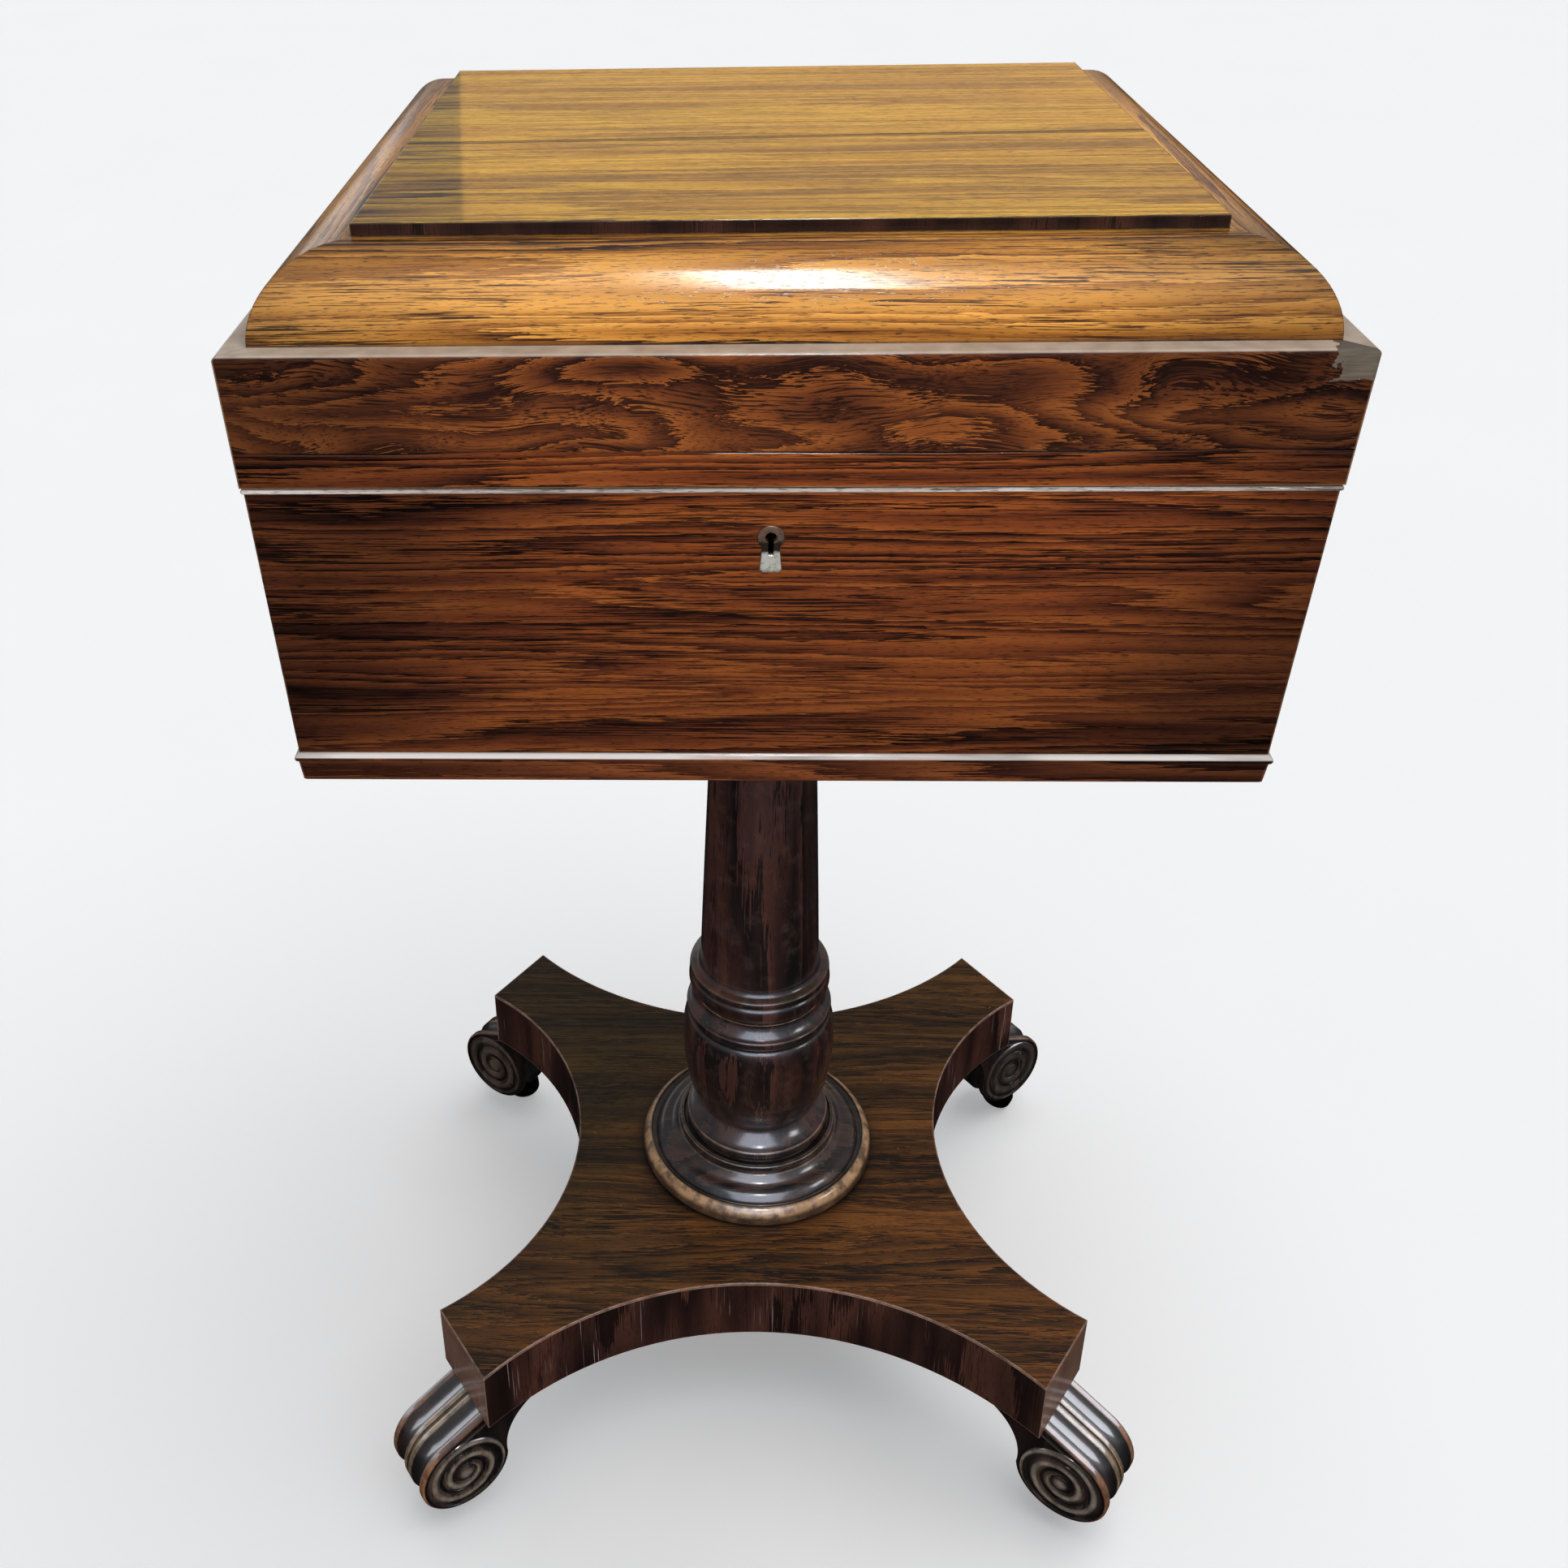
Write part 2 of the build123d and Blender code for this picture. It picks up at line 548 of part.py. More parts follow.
# ---------------------------------------------------------------- turned work
def make_disc():
    """Round base disc: torus, groove, ogee rise and a small ring, bored for the column's tenon."""
    z0 = PLATFORM_TOP
    torus_in = DISC_R - DISC_TORUS / 2
    torus_top = z0 + DISC_TORUS
    groove_z = torus_top - DISC_GROOVE_D
    groove_out = DISC_GROOVE_R + DISC_GROOVE_W / 2
    groove_in = DISC_GROOVE_R - DISC_GROOVE_W / 2
    neck_z = DISC_TOP - DISC_NECK_H
    neck_in = DISC_NECK_R - DISC_NECK_ROUND
    foot_r = DISC_NECK_R + DISC_NECK_H / 3
    foot_z = neck_z - DISC_NECK_H / 3
    swell = ((groove_in + foot_r) / 2 + OGEE_SWELL, (groove_z + foot_z) / 2 + OGEE_SWELL)
    outline = [
        Line((TENON_R, z0), (torus_in, z0)),
        ThreePointArc((torus_in, z0), (DISC_R, z0 + DISC_TORUS / 2), (torus_in, torus_top)),
        Line((torus_in, torus_top), (groove_out + DISC_GROOVE_W, torus_top)),
        Line((groove_out + DISC_GROOVE_W, torus_top), (groove_out, groove_z)),
        Line((groove_out, groove_z), (groove_in, groove_z)),
        ThreePointArc((groove_in, groove_z), swell, (foot_r, foot_z)),
        Line((foot_r, foot_z), (neck_in, neck_z)),
        ThreePointArc((neck_in, neck_z), (DISC_NECK_R, (neck_z + DISC_TOP) / 2), (neck_in, DISC_TOP)),
        Line((neck_in, DISC_TOP), (TENON_R, DISC_TOP)),
        Line((TENON_R, DISC_TOP), (TENON_R, z0)),
    ]
    parts["turned_disc"] = turned(outline)


def make_column():
    """Tapering turned column with its rings, bulb and collar, and a tenon at each end."""
    inner = RING_R - RING_OUT
    ring_z = DISC_TOP
    hollow_z = ring_z + RING_H
    bulb_z = hollow_z + HOLLOW_H
    ring2_z = bulb_z + BULB_H
    neck_z = ring2_z + RING_H
    collar_z = neck_z + NECK_H
    cove_z = collar_z + COLLAR_H
    shaft_z = cove_z + COVE_H
    shaft_top = SHOULDER - CAP_NECK_H
    astragal_top = shaft_top + ASTRAGAL_H
    cap_z = SHOULDER - CAP_H
    cap_in = CAP_R - CAP_H / 3
    collar_in = inner - COVE_STEP / 8
    cove_r = inner - COVE_STEP
    hollow_mid = (HOLLOW_R + COVE_STEP / 2, hollow_z + 0.37 * HOLLOW_H)
    cove_mid = ((cove_r + SHAFT_FOOT_R - COVE_STEP) / 2, (cove_z + shaft_z) / 2)
    outline = [
        Line((0, TENON_END), (TENON_R, TENON_END)),
        Line((TENON_R, TENON_END), (TENON_R, ring_z)),
        Line((TENON_R, ring_z), (inner, ring_z)),
        ThreePointArc((inner, ring_z), (RING_R, ring_z + RING_H / 2), (inner, hollow_z)),
        ThreePointArc((inner, hollow_z), hollow_mid, (HOLLOW_R, bulb_z)),
        ThreePointArc((HOLLOW_R, bulb_z), (BULB_R, bulb_z + BULB_H * BULB_MID), (inner, ring2_z)),
        ThreePointArc((inner, ring2_z), (RING_R, ring2_z + RING_H / 2), (inner, neck_z)),
        ThreePointArc((inner, neck_z), (inner - NECK_DEPTH, (neck_z + collar_z) / 2), (inner, collar_z)),
        ThreePointArc((inner, collar_z), (COLLAR_R, collar_z + COLLAR_MID), (collar_in, cove_z)),
        Line((collar_in, cove_z), (cove_r, cove_z)),
        Line((cove_r, cove_z), (cove_r, cove_z + COVE_FILLET)),
        ThreePointArc((cove_r, cove_z + COVE_FILLET), cove_mid, (SHAFT_FOOT_R, shaft_z)),
        Line((SHAFT_FOOT_R, shaft_z), (SHAFT_TOP_R, shaft_top)),
        ThreePointArc((SHAFT_TOP_R, shaft_top), (SHAFT_TOP_R + ASTRAGAL_OUT, (shaft_top + astragal_top) / 2),
                      (SHAFT_TOP_R, astragal_top)),
        ThreePointArc((SHAFT_TOP_R, astragal_top), (SHAFT_TOP_R + CAP_HOLLOW, cap_z - CAP_HOLLOW / 2),
                      (cap_in, cap_z)),
        ThreePointArc((cap_in, cap_z), (CAP_R, (cap_z + SHOULDER) / 2), (cap_in, SHOULDER)),
        Line((cap_in, SHOULDER), (TOP_TENON_R, SHOULDER)),
        Line((TOP_TENON_R, SHOULDER), (TOP_TENON_R, BOX_BOTTOM)),
        Line((TOP_TENON_R, BOX_BOTTOM), (0, BOX_BOTTOM)),
        Line((0, BOX_BOTTOM), (0, TENON_END)),
    ]
    parts["column"] = turned(outline)


def bearer_screw(x, y):
    """Countersunk screw up through the bearer into the box's bottom board."""
    head = Pos(x, y, SHOULDER + SCREW_HEAD_T / 2) * Cone(SCREW_HEAD_R, SCREW_R, SCREW_HEAD_T)
    return head + rod(SCREW_R, SHOULDER + SCREW_HEAD_T, BOX_BOTTOM + SCREW_BITE, x, y)


def bearer_screws():
    x = BEARER_X / 2 - BEARER_SCREW_IN
    y = BEARER_Y / 2 - BEARER_SCREW_IN
    return [bearer_screw(sx * x, sy * y) for sx in (-1, 1) for sy in (-1, 1)]


def make_bearer():
    bearer = box(-BEARER_X / 2, BEARER_X / 2, -BEARER_Y / 2, BEARER_Y / 2, SHOULDER, BOX_BOTTOM)
    low_edges = bearer.faces().sort_by(Axis.Z)[0].edges()
    bearer = fillet(low_edges, BEARER_ROUND)
    bearer -= rod(TOP_TENON_R, SHOULDER - PAST, BOX_BOTTOM + PAST)
    for screw in bearer_screws():
        bearer -= screw
    parts["bearer_block"] = bearer
    parts["bearer_screws"] = group(bearer_screws())


# ---------------------------------------------------------------- box body
def keyhole(depth):
    """Keyhole cutter from the face of the leaning front down to a depth behind it."""
    slot = Pos(0, -KEYHOLE_SLOT_L / 2) * Rectangle(KEYHOLE_SLOT_W, KEYHOLE_SLOT_L)
    return front_plane(depth) * extrude(Circle(KEYHOLE_R) + slot, depth + PAST)


def front_plane(depth):
    """Plane of the body's leaning front at the keyhole, a given depth behind the face, facing out."""
    y = -(LID_HY - BODY_IN) + (JOINT - KEYHOLE_Z) * LEAN
    normal = Vector(0, -1, -LEAN).normalized()
    origin = Vector(LOCK_X, y, KEYHOLE_Z) - normal * depth
    return Plane(origin=origin, x_dir=(1, 0, 0), z_dir=normal)


def escutcheon_face():
    """Outline of the escutcheon: a ring with a flared tail whose lower corners are cut."""
    half = ESCUTCHEON_TAIL_W / 2
    cut = ESCUTCHEON_CUT
    low = -ESCUTCHEON_TAIL
    tail = make_face(Polyline((-half + cut, 0), (half - cut, 0), (half, low + cut), (half - cut, low),
                              (cut - half, low), (-half, low + cut), close=True))
    return Circle(ESCUTCHEON_R) + tail


def lock_volume():
    """Outer shape of the lock: case let into the front board, and its top plate."""
    y0, y1 = LOCK_Y - LOCK_CHAMBER / 2 - LOCK_WALL, LOCK_Y + LOCK_CHAMBER / 2 + LOCK_WALL
    case = box(LOCK_X - LOCK_HALF, LOCK_X + LOCK_HALF, y0, y1, JOINT - LOCK_H, JOINT - SELVEDGE_T)
    return case + box(LOCK_X - SELVEDGE_HALF, LOCK_X + SELVEDGE_HALF, y0 - SELVEDGE_LIP, y1,
                      JOINT - SELVEDGE_T, JOINT)


def staple(x):
    """One staple let through the lid's plate, hanging into the lock, with an eye for the bolt."""
    half_w = STAPLE_W / 2
    half_eye = STAPLE_EYE_W / 2
    low = LID_BOTTOM - STAPLE_L
    eye_z = low + STAPLE_EYE_LOW
    bar = box(x - STAPLE_T / 2, x + STAPLE_T / 2, LOCK_Y - half_w, LOCK_Y + half_w,
              low, LID_BOTTOM + STRIKE_T)
    return bar - box(x - STAPLE_T, x + STAPLE_T, LOCK_Y - half_eye, LOCK_Y + half_eye,
                     eye_z, eye_z + STAPLE_EYE_H)


def make_lock():
    """Box lock: hollow case, sliding bolt with two fingers, and the lid's plate and two staples."""
    half_chamber = LOCK_CHAMBER / 2
    chamber_y = (LOCK_Y - half_chamber, LOCK_Y + half_chamber)
    bolt_y = (LOCK_Y - BOLT_W / 2, LOCK_Y + BOLT_W / 2)
    staple_low = LID_BOTTOM - STAPLE_L
    finger_z = staple_low + STAPLE_EYE_LOW + STAPLE_EYE_H / 2
    bar_top = staple_low - BOLT_UNDER
    bar_low = bar_top - BOLT_H
    chamber_x = LOCK_HALF - LOCK_END
    case = lock_volume()
    case -= box(LOCK_X - chamber_x, LOCK_X + chamber_x, *chamber_y, bar_low - RUN, JOINT - SELVEDGE_T)
    case -= keyhole(BODY_WALL - LOCK_CHAMBER)
    reach = STAPLE_T / 2 + BOLT_THROW + FINGER_GAP
    bolt = box(LOCK_X - STAPLE_X - reach - LUG_L, LOCK_X + STAPLE_X, *bolt_y, bar_low, bar_top)
    plate = box(LOCK_X - STRIKE_HALF, LOCK_X + STRIKE_HALF, LOCK_Y - half_chamber - LOCK_WALL,
                LOCK_Y + half_chamber, LID_BOTTOM, LID_BOTTOM + STRIKE_T)
    for side in (-1, 1):
        x = LOCK_X + side * STAPLE_X
        half_slot = STAPLE_T / 2 + STAPLE_PLAY
        case -= box(x - half_slot, x + half_slot, *chamber_y, JOINT - SELVEDGE_T - PAST, JOINT + PAST)
        lug_x = x - reach
        bolt += box(lug_x - LUG_L, lug_x, *bolt_y, bar_top, finger_z + FINGER_H / 2)
        bolt += box(lug_x, x - STAPLE_T / 2 - FINGER_GAP, LOCK_Y - FINGER_W / 2, LOCK_Y + FINGER_W / 2,
                    finger_z - FINGER_H / 2, finger_z + FINGER_H / 2)
        plate -= staple(x)
    parts["lock_case"] = case
    parts["lock_bolt"] = bolt
    parts["strike_plate"] = plate
    parts["strike_staples"] = group([staple(LOCK_X + side * STAPLE_X) for side in (-1, 1)])


def hinge_leaf(x, upper):
    """Leaf of one lid hinge with its own knuckles."""
    pitch = HINGE_LENGTH / HINGE_KNUCKLES
    z0, z1 = (LID_BOTTOM, LID_BOTTOM + HINGE_LEAF_T) if upper else (JOINT - HINGE_LEAF_T, JOINT)
    y0 = HINGE_AXIS_Y - HINGE_BARREL_R - HINGE_LEAF
    leaf = box(x - HINGE_LENGTH / 2, x + HINGE_LENGTH / 2, y0, HINGE_AXIS_Y - HINGE_BARREL_R - RUN, z0, z1)
    for k in range(HINGE_KNUCKLES):
        if (k % 2 == 1) == upper:
            x0 = x - HINGE_LENGTH / 2 + k * pitch
            gap0 = RUN / 2 if k else 0
            gap1 = RUN / 2 if k < HINGE_KNUCKLES - 1 else 0
            leaf += rod_x(HINGE_BARREL_R, x0 + gap0, x0 + pitch - gap1, HINGE_AXIS_Y, HINGE_AXIS_Z)
            leaf += box(x0 + gap0, x0 + pitch - gap1, y0 + HINGE_TONGUE, HINGE_AXIS_Y, z0, z1)
    return leaf - rod_x(HINGE_PIN_R + FIT, x - HINGE_LENGTH, x + HINGE_LENGTH, HINGE_AXIS_Y, HINGE_AXIS_Z)


def hinge_screws(x, upper):
    """Screws of one leaf, heads flush with its face."""
    out = []
    y = HINGE_AXIS_Y - HINGE_BARREL_R - HINGE_LEAF / 2
    face, up = (LID_BOTTOM, 1) if upper else (JOINT, -1)
    for k in range(HINGE_SCREWS):
        sx = x + (k - (HINGE_SCREWS - 1) / 2) * HINGE_LENGTH / HINGE_SCREWS
        head = Cone(HINGE_SCREW_HEAD_R, HINGE_SCREW_R, HINGE_LEAF_T)
        head = head if upper else Rot(180, 0, 0) * head
        low, high = sorted((face + up * HINGE_LEAF_T, face + up * HINGE_SCREW_L))
        out.append(Pos(sx, y, face + up * HINGE_LEAF_T / 2) * head + rod(HINGE_SCREW_R, low, high, sx, y))
    return out


def hinge_pocket(x, upper):
    """Wood cut away for a leaf and for the barrel."""
    z0, z1 = (LID_BOTTOM, LID_BOTTOM + HINGE_LEAF_T) if upper else (JOINT - HINGE_LEAF_T, JOINT)
    y0 = HINGE_AXIS_Y - HINGE_BARREL_R - HINGE_LEAF
    cut = box(x - HINGE_LENGTH / 2, x + HINGE_LENGTH / 2, y0, HINGE_AXIS_Y + HINGE_BARREL_R, z0, z1)
    return cut + rod_x(HINGE_BARREL_R + BARREL_ROOM, x - HINGE_LENGTH / 2 - RUN, x + HINGE_LENGTH / 2 + RUN,
                       HINGE_AXIS_Y, HINGE_AXIS_Z)


def make_hinges():
    xs = (-HINGE_X, HINGE_X)
    parts["hinge_leaves_lower"] = group([cut_all(hinge_leaf(x, False), hinge_screws(x, False)) for x in xs])
    parts["hinge_leaves_upper"] = group([cut_all(hinge_leaf(x, True), hinge_screws(x, True)) for x in xs])
    parts["hinge_screws_lower"] = group([s for x in xs for s in hinge_screws(x, False)])
    parts["hinge_screws_upper"] = group([s for x in xs for s in hinge_screws(x, True)])
    parts["hinge_pins"] = group([rod_x(HINGE_PIN_R, x - HINGE_LENGTH / 2, x + HINGE_LENGTH / 2,
                                       HINGE_AXIS_Y, HINGE_AXIS_Z) for x in xs])


def cut_all(shape, cutters):
    for cutter in cutters:
        shape = shape - cutter
    return shape


def body_section():
    """Section of a body side: a leaning board, rebated at the top for the rim bead."""
    bead_low = JOINT - RIM_BEAD_H
    slip = RIM_BEAD_H * LEAN
    return Polyline(
        (-BODY_FOOT_IN, BODY_BOTTOM), (-BODY_IN - slip, bead_low), (-BODY_IN - RIM_BEAD_IN, bead_low),
        (-BODY_IN - RIM_BEAD_IN, JOINT), (-BODY_IN - BODY_WALL, JOINT),
        (-BODY_FOOT_IN - BODY_WALL, BODY_BOTTOM), close=True)


def rim_bead_section():
    low = JOINT - RIM_BEAD_H
    face_in = -BODY_IN - RIM_BEAD_IN
    foot_in = -BODY_IN - RIM_BEAD_H * LEAN
    return [
        Line((face_in, low), (foot_in, low)),
        ThreePointArc((foot_in, low), (-BODY_IN + RIM_BEAD_OUT, low + RIM_BEAD_H / 2), (-BODY_IN, JOINT)),
        Line((-BODY_IN, JOINT), (face_in, JOINT)),
        Line((face_in, JOINT), (face_in, low)),
    ]


def base_moulding_section():
    """Band with a bead above it, planted round the edge of the bottom board."""
    face = -BODY_FOOT_IN
    inner = face - MOULDING_T
    bead_low = BOX_BOTTOM + BASE_BAND_H
    arris = BOX_BOTTOM + BAND_ROUND
    return [
        Line((inner, BOX_BOTTOM), (face - BAND_IN - BAND_ROUND, BOX_BOTTOM)),
        Line((face - BAND_IN - BAND_ROUND, BOX_BOTTOM), (face - BAND_IN, arris)),
        Line((face - BAND_IN, arris), (face + BAND_OUT, bead_low)),
        ThreePointArc((face + BAND_OUT, bead_low), (face + BASE_BEAD_OUT, bead_low + BASE_BEAD_H / 2),
                      (face, BODY_BOTTOM)),
        Line((face, BODY_BOTTOM), (inner, BODY_BOTTOM)),
        Line((inner, BODY_BOTTOM), (inner, BOX_BOTTOM)),
    ]


def make_body():
    for side, board in mitred(body_section()).items():
        if side == "front":
            board -= lock_volume()
            board -= keyhole(BODY_WALL)
            seat = front_plane(ESCUTCHEON_T - ESCUTCHEON_PROUD)
            board -= seat * extrude(escutcheon_face(), ESCUTCHEON_T + PAST)
        if side == "back":
            board = cut_hinges(board, False)
        parts[f"body_{side}"] = board
    rim = mitred(rim_bead_section())
    rim["front"] -= lock_volume()
    rim["back"] = cut_hinges(rim["back"], False)
    parts["rim_bead"] = group(rim.values())
    parts["base_moulding"] = group(mitred(base_moulding_section()).values())
    hx, hy = LID_HX - BODY_FOOT_IN - MOULDING_T, LID_HY - BODY_FOOT_IN - MOULDING_T
    bottom = box(-hx, hx, -hy, hy, BOX_BOTTOM, BODY_BOTTOM)
    for screw in bearer_screws():
        bottom -= screw
    parts["bottom_board"] = bottom
    plate = front_plane(ESCUTCHEON_T - ESCUTCHEON_PROUD) * extrude(escutcheon_face(), ESCUTCHEON_T)
    parts["keyhole_escutcheon"] = plate - keyhole(BODY_WALL)


def cut_hinges(board, upper):
    for x in (-HINGE_X, HINGE_X):
        board = board - hinge_pocket(x, upper)
        board = cut_all(board, hinge_screws(x, upper))
    return board


# ---------------------------------------------------------------- lid
def frieze_section():
    """Section of a lid side: a leaning board with a rounded upper arris."""
    slope_low = FRIEZE_TOP - FRIEZE_ROUND
    return [
        Line((-JOINT_IN, LID_BOTTOM), (-FRIEZE_ROUND * LEAN, slope_low)),
        ThreePointArc((-FRIEZE_ROUND * LEAN, slope_low), (-FRIEZE_ROUND / 3, FRIEZE_TOP - FRIEZE_ROUND / 3),
                      (-FRIEZE_ROUND, FRIEZE_TOP)),
        Line((-FRIEZE_ROUND, FRIEZE_TOP), (-LID_WALL, FRIEZE_TOP)),
        Line((-LID_WALL, FRIEZE_TOP), (-LID_WALL - JOINT_IN, LID_BOTTOM)),
        Line((-LID_WALL - JOINT_IN, LID_BOTTOM), (-JOINT_IN, LID_BOTTOM)),
    ]


def cushion_section():
    """Quarter-round cushion moulding with a flat top strip, rebated underneath behind its foot."""
    outer, inner = -LEDGE, -LEDGE - CUSHION_SECTION
    leg_in = outer - CUSHION_LEG
    top_in = outer - CUSHION_R
    diag = CUSHION_R * sqrt(0.5)
    return [
        ThreePointArc((outer, FRIEZE_TOP), (top_in + diag, FRIEZE_TOP + diag), (top_in, CUSHION_TOP)),
        Line((top_in, CUSHION_TOP), (inner, CUSHION_TOP)),
        Line((inner, CUSHION_TOP), (inner, LID_CEILING)),
        Line((inner, LID_CEILING), (leg_in, LID_CEILING)),
        Line((leg_in, LID_CEILING), (leg_in, FRIEZE_TOP)),
        Line((leg_in, FRIEZE_TOP), (outer, FRIEZE_TOP)),
    ]


def make_lid():
    for side, board in mitred(frieze_section()).items():
        if side == "back":
            board = cut_hinges(board, True)
        if side == "front":
            board = cut_all(board, solids(parts["strike_plate"]) + solids(parts["strike_staples"]))
        parts[f"lid_frieze_{side}"] = board
    parts["cushion_moulding"] = group(mitred(cushion_section()).values())
    core_in = LEDGE + CUSHION_SECTION
    parts["lid_top_board"] = box(-LID_HX + core_in, LID_HX - core_in, -LID_HY + core_in, LID_HY - core_in,
                                 LID_CEILING, CUSHION_TOP)
    panel = box(-LID_HX + TOP_IN, LID_HX - TOP_IN, -LID_HY + TOP_IN, LID_HY - TOP_IN, CUSHION_TOP, TOTAL_H)
    parts["lid_top_panel"] = fillet(panel.faces().sort_by(Axis.Z)[-1].edges(), TOP_PANEL_ROUND)


# ---------------------------------------------------------------- interior
def canister_parts():
    """One tea canister with its lining, lid, knob and hinge pins, at the right-hand back."""
    x0, x1 = BAY_HALF, ROOM_X
    y0, y1 = CANISTER_GAP / 2, ROOM_Y
    wall, top = CANISTER_WALL, CANISTER_TOP
    shelf = top - CAN_LID_T - RUN
    carcass = box(x0, x1, y0, y1, BODY_BOTTOM, top)
    carcass -= box(x0 + wall, x1 - wall, y0 + wall, y1 - wall, BODY_BOTTOM + CANISTER_FLOOR, top + PAST)
    carcass -= box(x0 - PAST, x0 + wall + PAST, y0 + wall, y1 - wall, shelf, top + PAST)
    carcass -= box(x1 - wall - PAST, x1 - wall + CAN_LEDGE, y0 + wall, y1 - wall, shelf, top + PAST)
    floor = BODY_BOTTOM + CANISTER_FLOOR
    skin = wall + LINING_T
    lining = box(x0 + wall, x1 - wall, y0 + wall, y1 - wall, floor, shelf - LINING_REVEAL)
    lining -= box(x0 + skin, x1 - skin, y0 + skin, y1 - skin, floor + LINING_T, top)
    lid_y0, lid_y1 = y0 + wall + CAN_LID_GAP, y1 - wall - CAN_LID_GAP
    lid_x1 = x1 - wall + CAN_LEDGE - CAN_LID_GAP
    lid_outline = make_face([
        Line((CAN_AXIS_X, top), (lid_x1, top)),
        Line((lid_x1, top), (lid_x1, top - CAN_LID_T)),
        Line((lid_x1, top - CAN_LID_T), (CAN_AXIS_X, top - CAN_LID_T)),
        ThreePointArc((CAN_AXIS_X, top - CAN_LID_T), (CAN_AXIS_X - CAN_LID_T / 2, CAN_AXIS_Z),
                      (CAN_AXIS_X, top)),
    ])
    lid = Pos(0, lid_y1, 0) * extrude(Plane.XZ * lid_outline, lid_y1 - lid_y0)
    pins = []
    for end, inwards in ((y0, 1), (y1, -1)):
        a = end + inwards * LID_PIN_COVER
        b = a + inwards * LID_PIN_L
        pins.append(rod_y(LID_PIN_R, min(a, b), max(a, b), CAN_AXIS_X, CAN_AXIS_Z))
        c = b + inwards * CAN_LID_GAP
        bore = rod_y(LID_PIN_R + FIT, min(end, c), max(end, c), CAN_AXIS_X, CAN_AXIS_Z)
        lid -= bore
        carcass -= pins[-1]
    knob_x, knob_y = (CAN_AXIS_X + lid_x1) / 2, (lid_y0 + lid_y1) / 2
    ball_z = KNOB_H - KNOB_R
    neck_z = ball_z - sqrt(KNOB_R ** 2 - KNOB_NECK_R ** 2)
    knob = Pos(knob_x, knob_y, top) * turned([
        Line((0, 0), (KNOB_BASE_R, 0)),
        ThreePointArc((KNOB_BASE_R, 0), ((KNOB_BASE_R + 4 * KNOB_NECK_R) / 5, neck_z / 2),
                      (KNOB_NECK_R, neck_z)),
        ThreePointArc((KNOB_NECK_R, neck_z), (KNOB_R, ball_z), (0, KNOB_H)),
        Line((0, KNOB_H), (0, 0)),
    ])
    return carcass, lining, group([lid, knob]), pins


def make_canisters():
    carcass, lining, lid, pins = canister_parts()
    linings, all_pins = [], []
    for corner, (sx, sy) in CORNERS.items():
        def place(shape):
            shape = shape if sx > 0 else mirror(shape, Plane.YZ)
            return shape if sy > 0 else mirror(shape, Plane.XZ)
        parts[f"canister_{corner}"] = place(carcass)
        parts[f"canister_lid_{corner}"] = group([place(s) for s in solids(lid)])
        linings.append(place(lining))
        all_pins += [place(p) for p in pins]
    parts["canister_linings"] = group(linings)
    parts["canister_lid_pins"] = group(all_pins)


def make_deck():
    """Deck over the middle bay with two round apertures, carried on the two dividers."""
    x_out = BAY_HALF - RUN
    deck_low = DECK_TOP - DECK_T
    y_in = LID_HY - BODY_IN - BODY_WALL - (JOINT - deck_low) * LEAN - SEAT
    deck = box(-x_out, x_out, -y_in, y_in, deck_low, DECK_TOP)
    for side in (-1, 1):
        deck -= rod(BOWL_HOLE_R, deck_low - PAST, DECK_TOP + PAST, 0, side * BOWL_Y)
    parts["bowl_deck"] = deck
    for name, side in (("left", -1), ("right", 1)):
        a, b = side * (x_out - DIVIDER_T), side * x_out
        parts[f"divider_{name}"] = box(min(a, b), max(a, b), -ROOM_Y, ROOM_Y, BODY_BOTTOM, deck_low)
    for name, side in (("front", -1), ("back", 1)):
        parts[f"glass_bowl_{name}"] = Pos(0, side * BOWL_Y, DECK_TOP) * bowl()


def bowl():
    """Blown glass mixing bowl with a flat rim that hangs on the deck, and a low foot."""
    wall, foot_r, low = BOWL_WALL, BOWL_FOOT_R, -BOWL_DEPTH
    r_in = BOWL_R - wall
    rim_r = BOWL_R + BOWL_RIM_OUT
    floor = low + BOWL_FOOT_H + wall
    belly_z = low + 0.38 * BOWL_DEPTH
    return turned([
        Line((0, low), (foot_r, low)),
        Line((foot_r, low), (foot_r, low + BOWL_FOOT_H)),
        ThreePointArc((foot_r, low + BOWL_FOOT_H), (BOWL_BELLY_R, belly_z), (BOWL_R, 0)),
        Line((BOWL_R, 0), (rim_r, 0)),
        ThreePointArc((rim_r, 0), (rim_r + BOWL_RIM_T / 2, BOWL_RIM_T / 2), (rim_r, BOWL_RIM_T)),
        Line((rim_r, BOWL_RIM_T), (r_in, BOWL_RIM_T)),
        Line((r_in, BOWL_RIM_T), (r_in, 0)),
        ThreePointArc((r_in, 0), (BOWL_BELLY_R - wall, belly_z + wall / 4), (foot_r - wall, floor)),
        Line((foot_r - wall, floor), (0, floor)),
        Line((0, floor), (0, low)),
    ])


# ---------------------------------------------------------------- build
make_platform()
make_feet()
make_castors()
make_disc()
make_column()
make_bearer()
make_lock()
make_hinges()
make_body()
make_lid()
make_canisters()
make_deck()

os.makedirs("parts", exist_ok=True)
for node, shape in parts.items():
    export_step(shape, f"parts/{node}.step")
print(len(parts), "nodes")
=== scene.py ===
"""Teapoy: its finishes, its worn and carved details and the studio it stands in.

Metres, +Z up, front towards -Y. Patterns are laid out in millimetres of the object's own coordinates.
"""

from math import atan2, cos, pi, radians, sin

import bpy
import numpy as np
from mathutils import Matrix, Vector


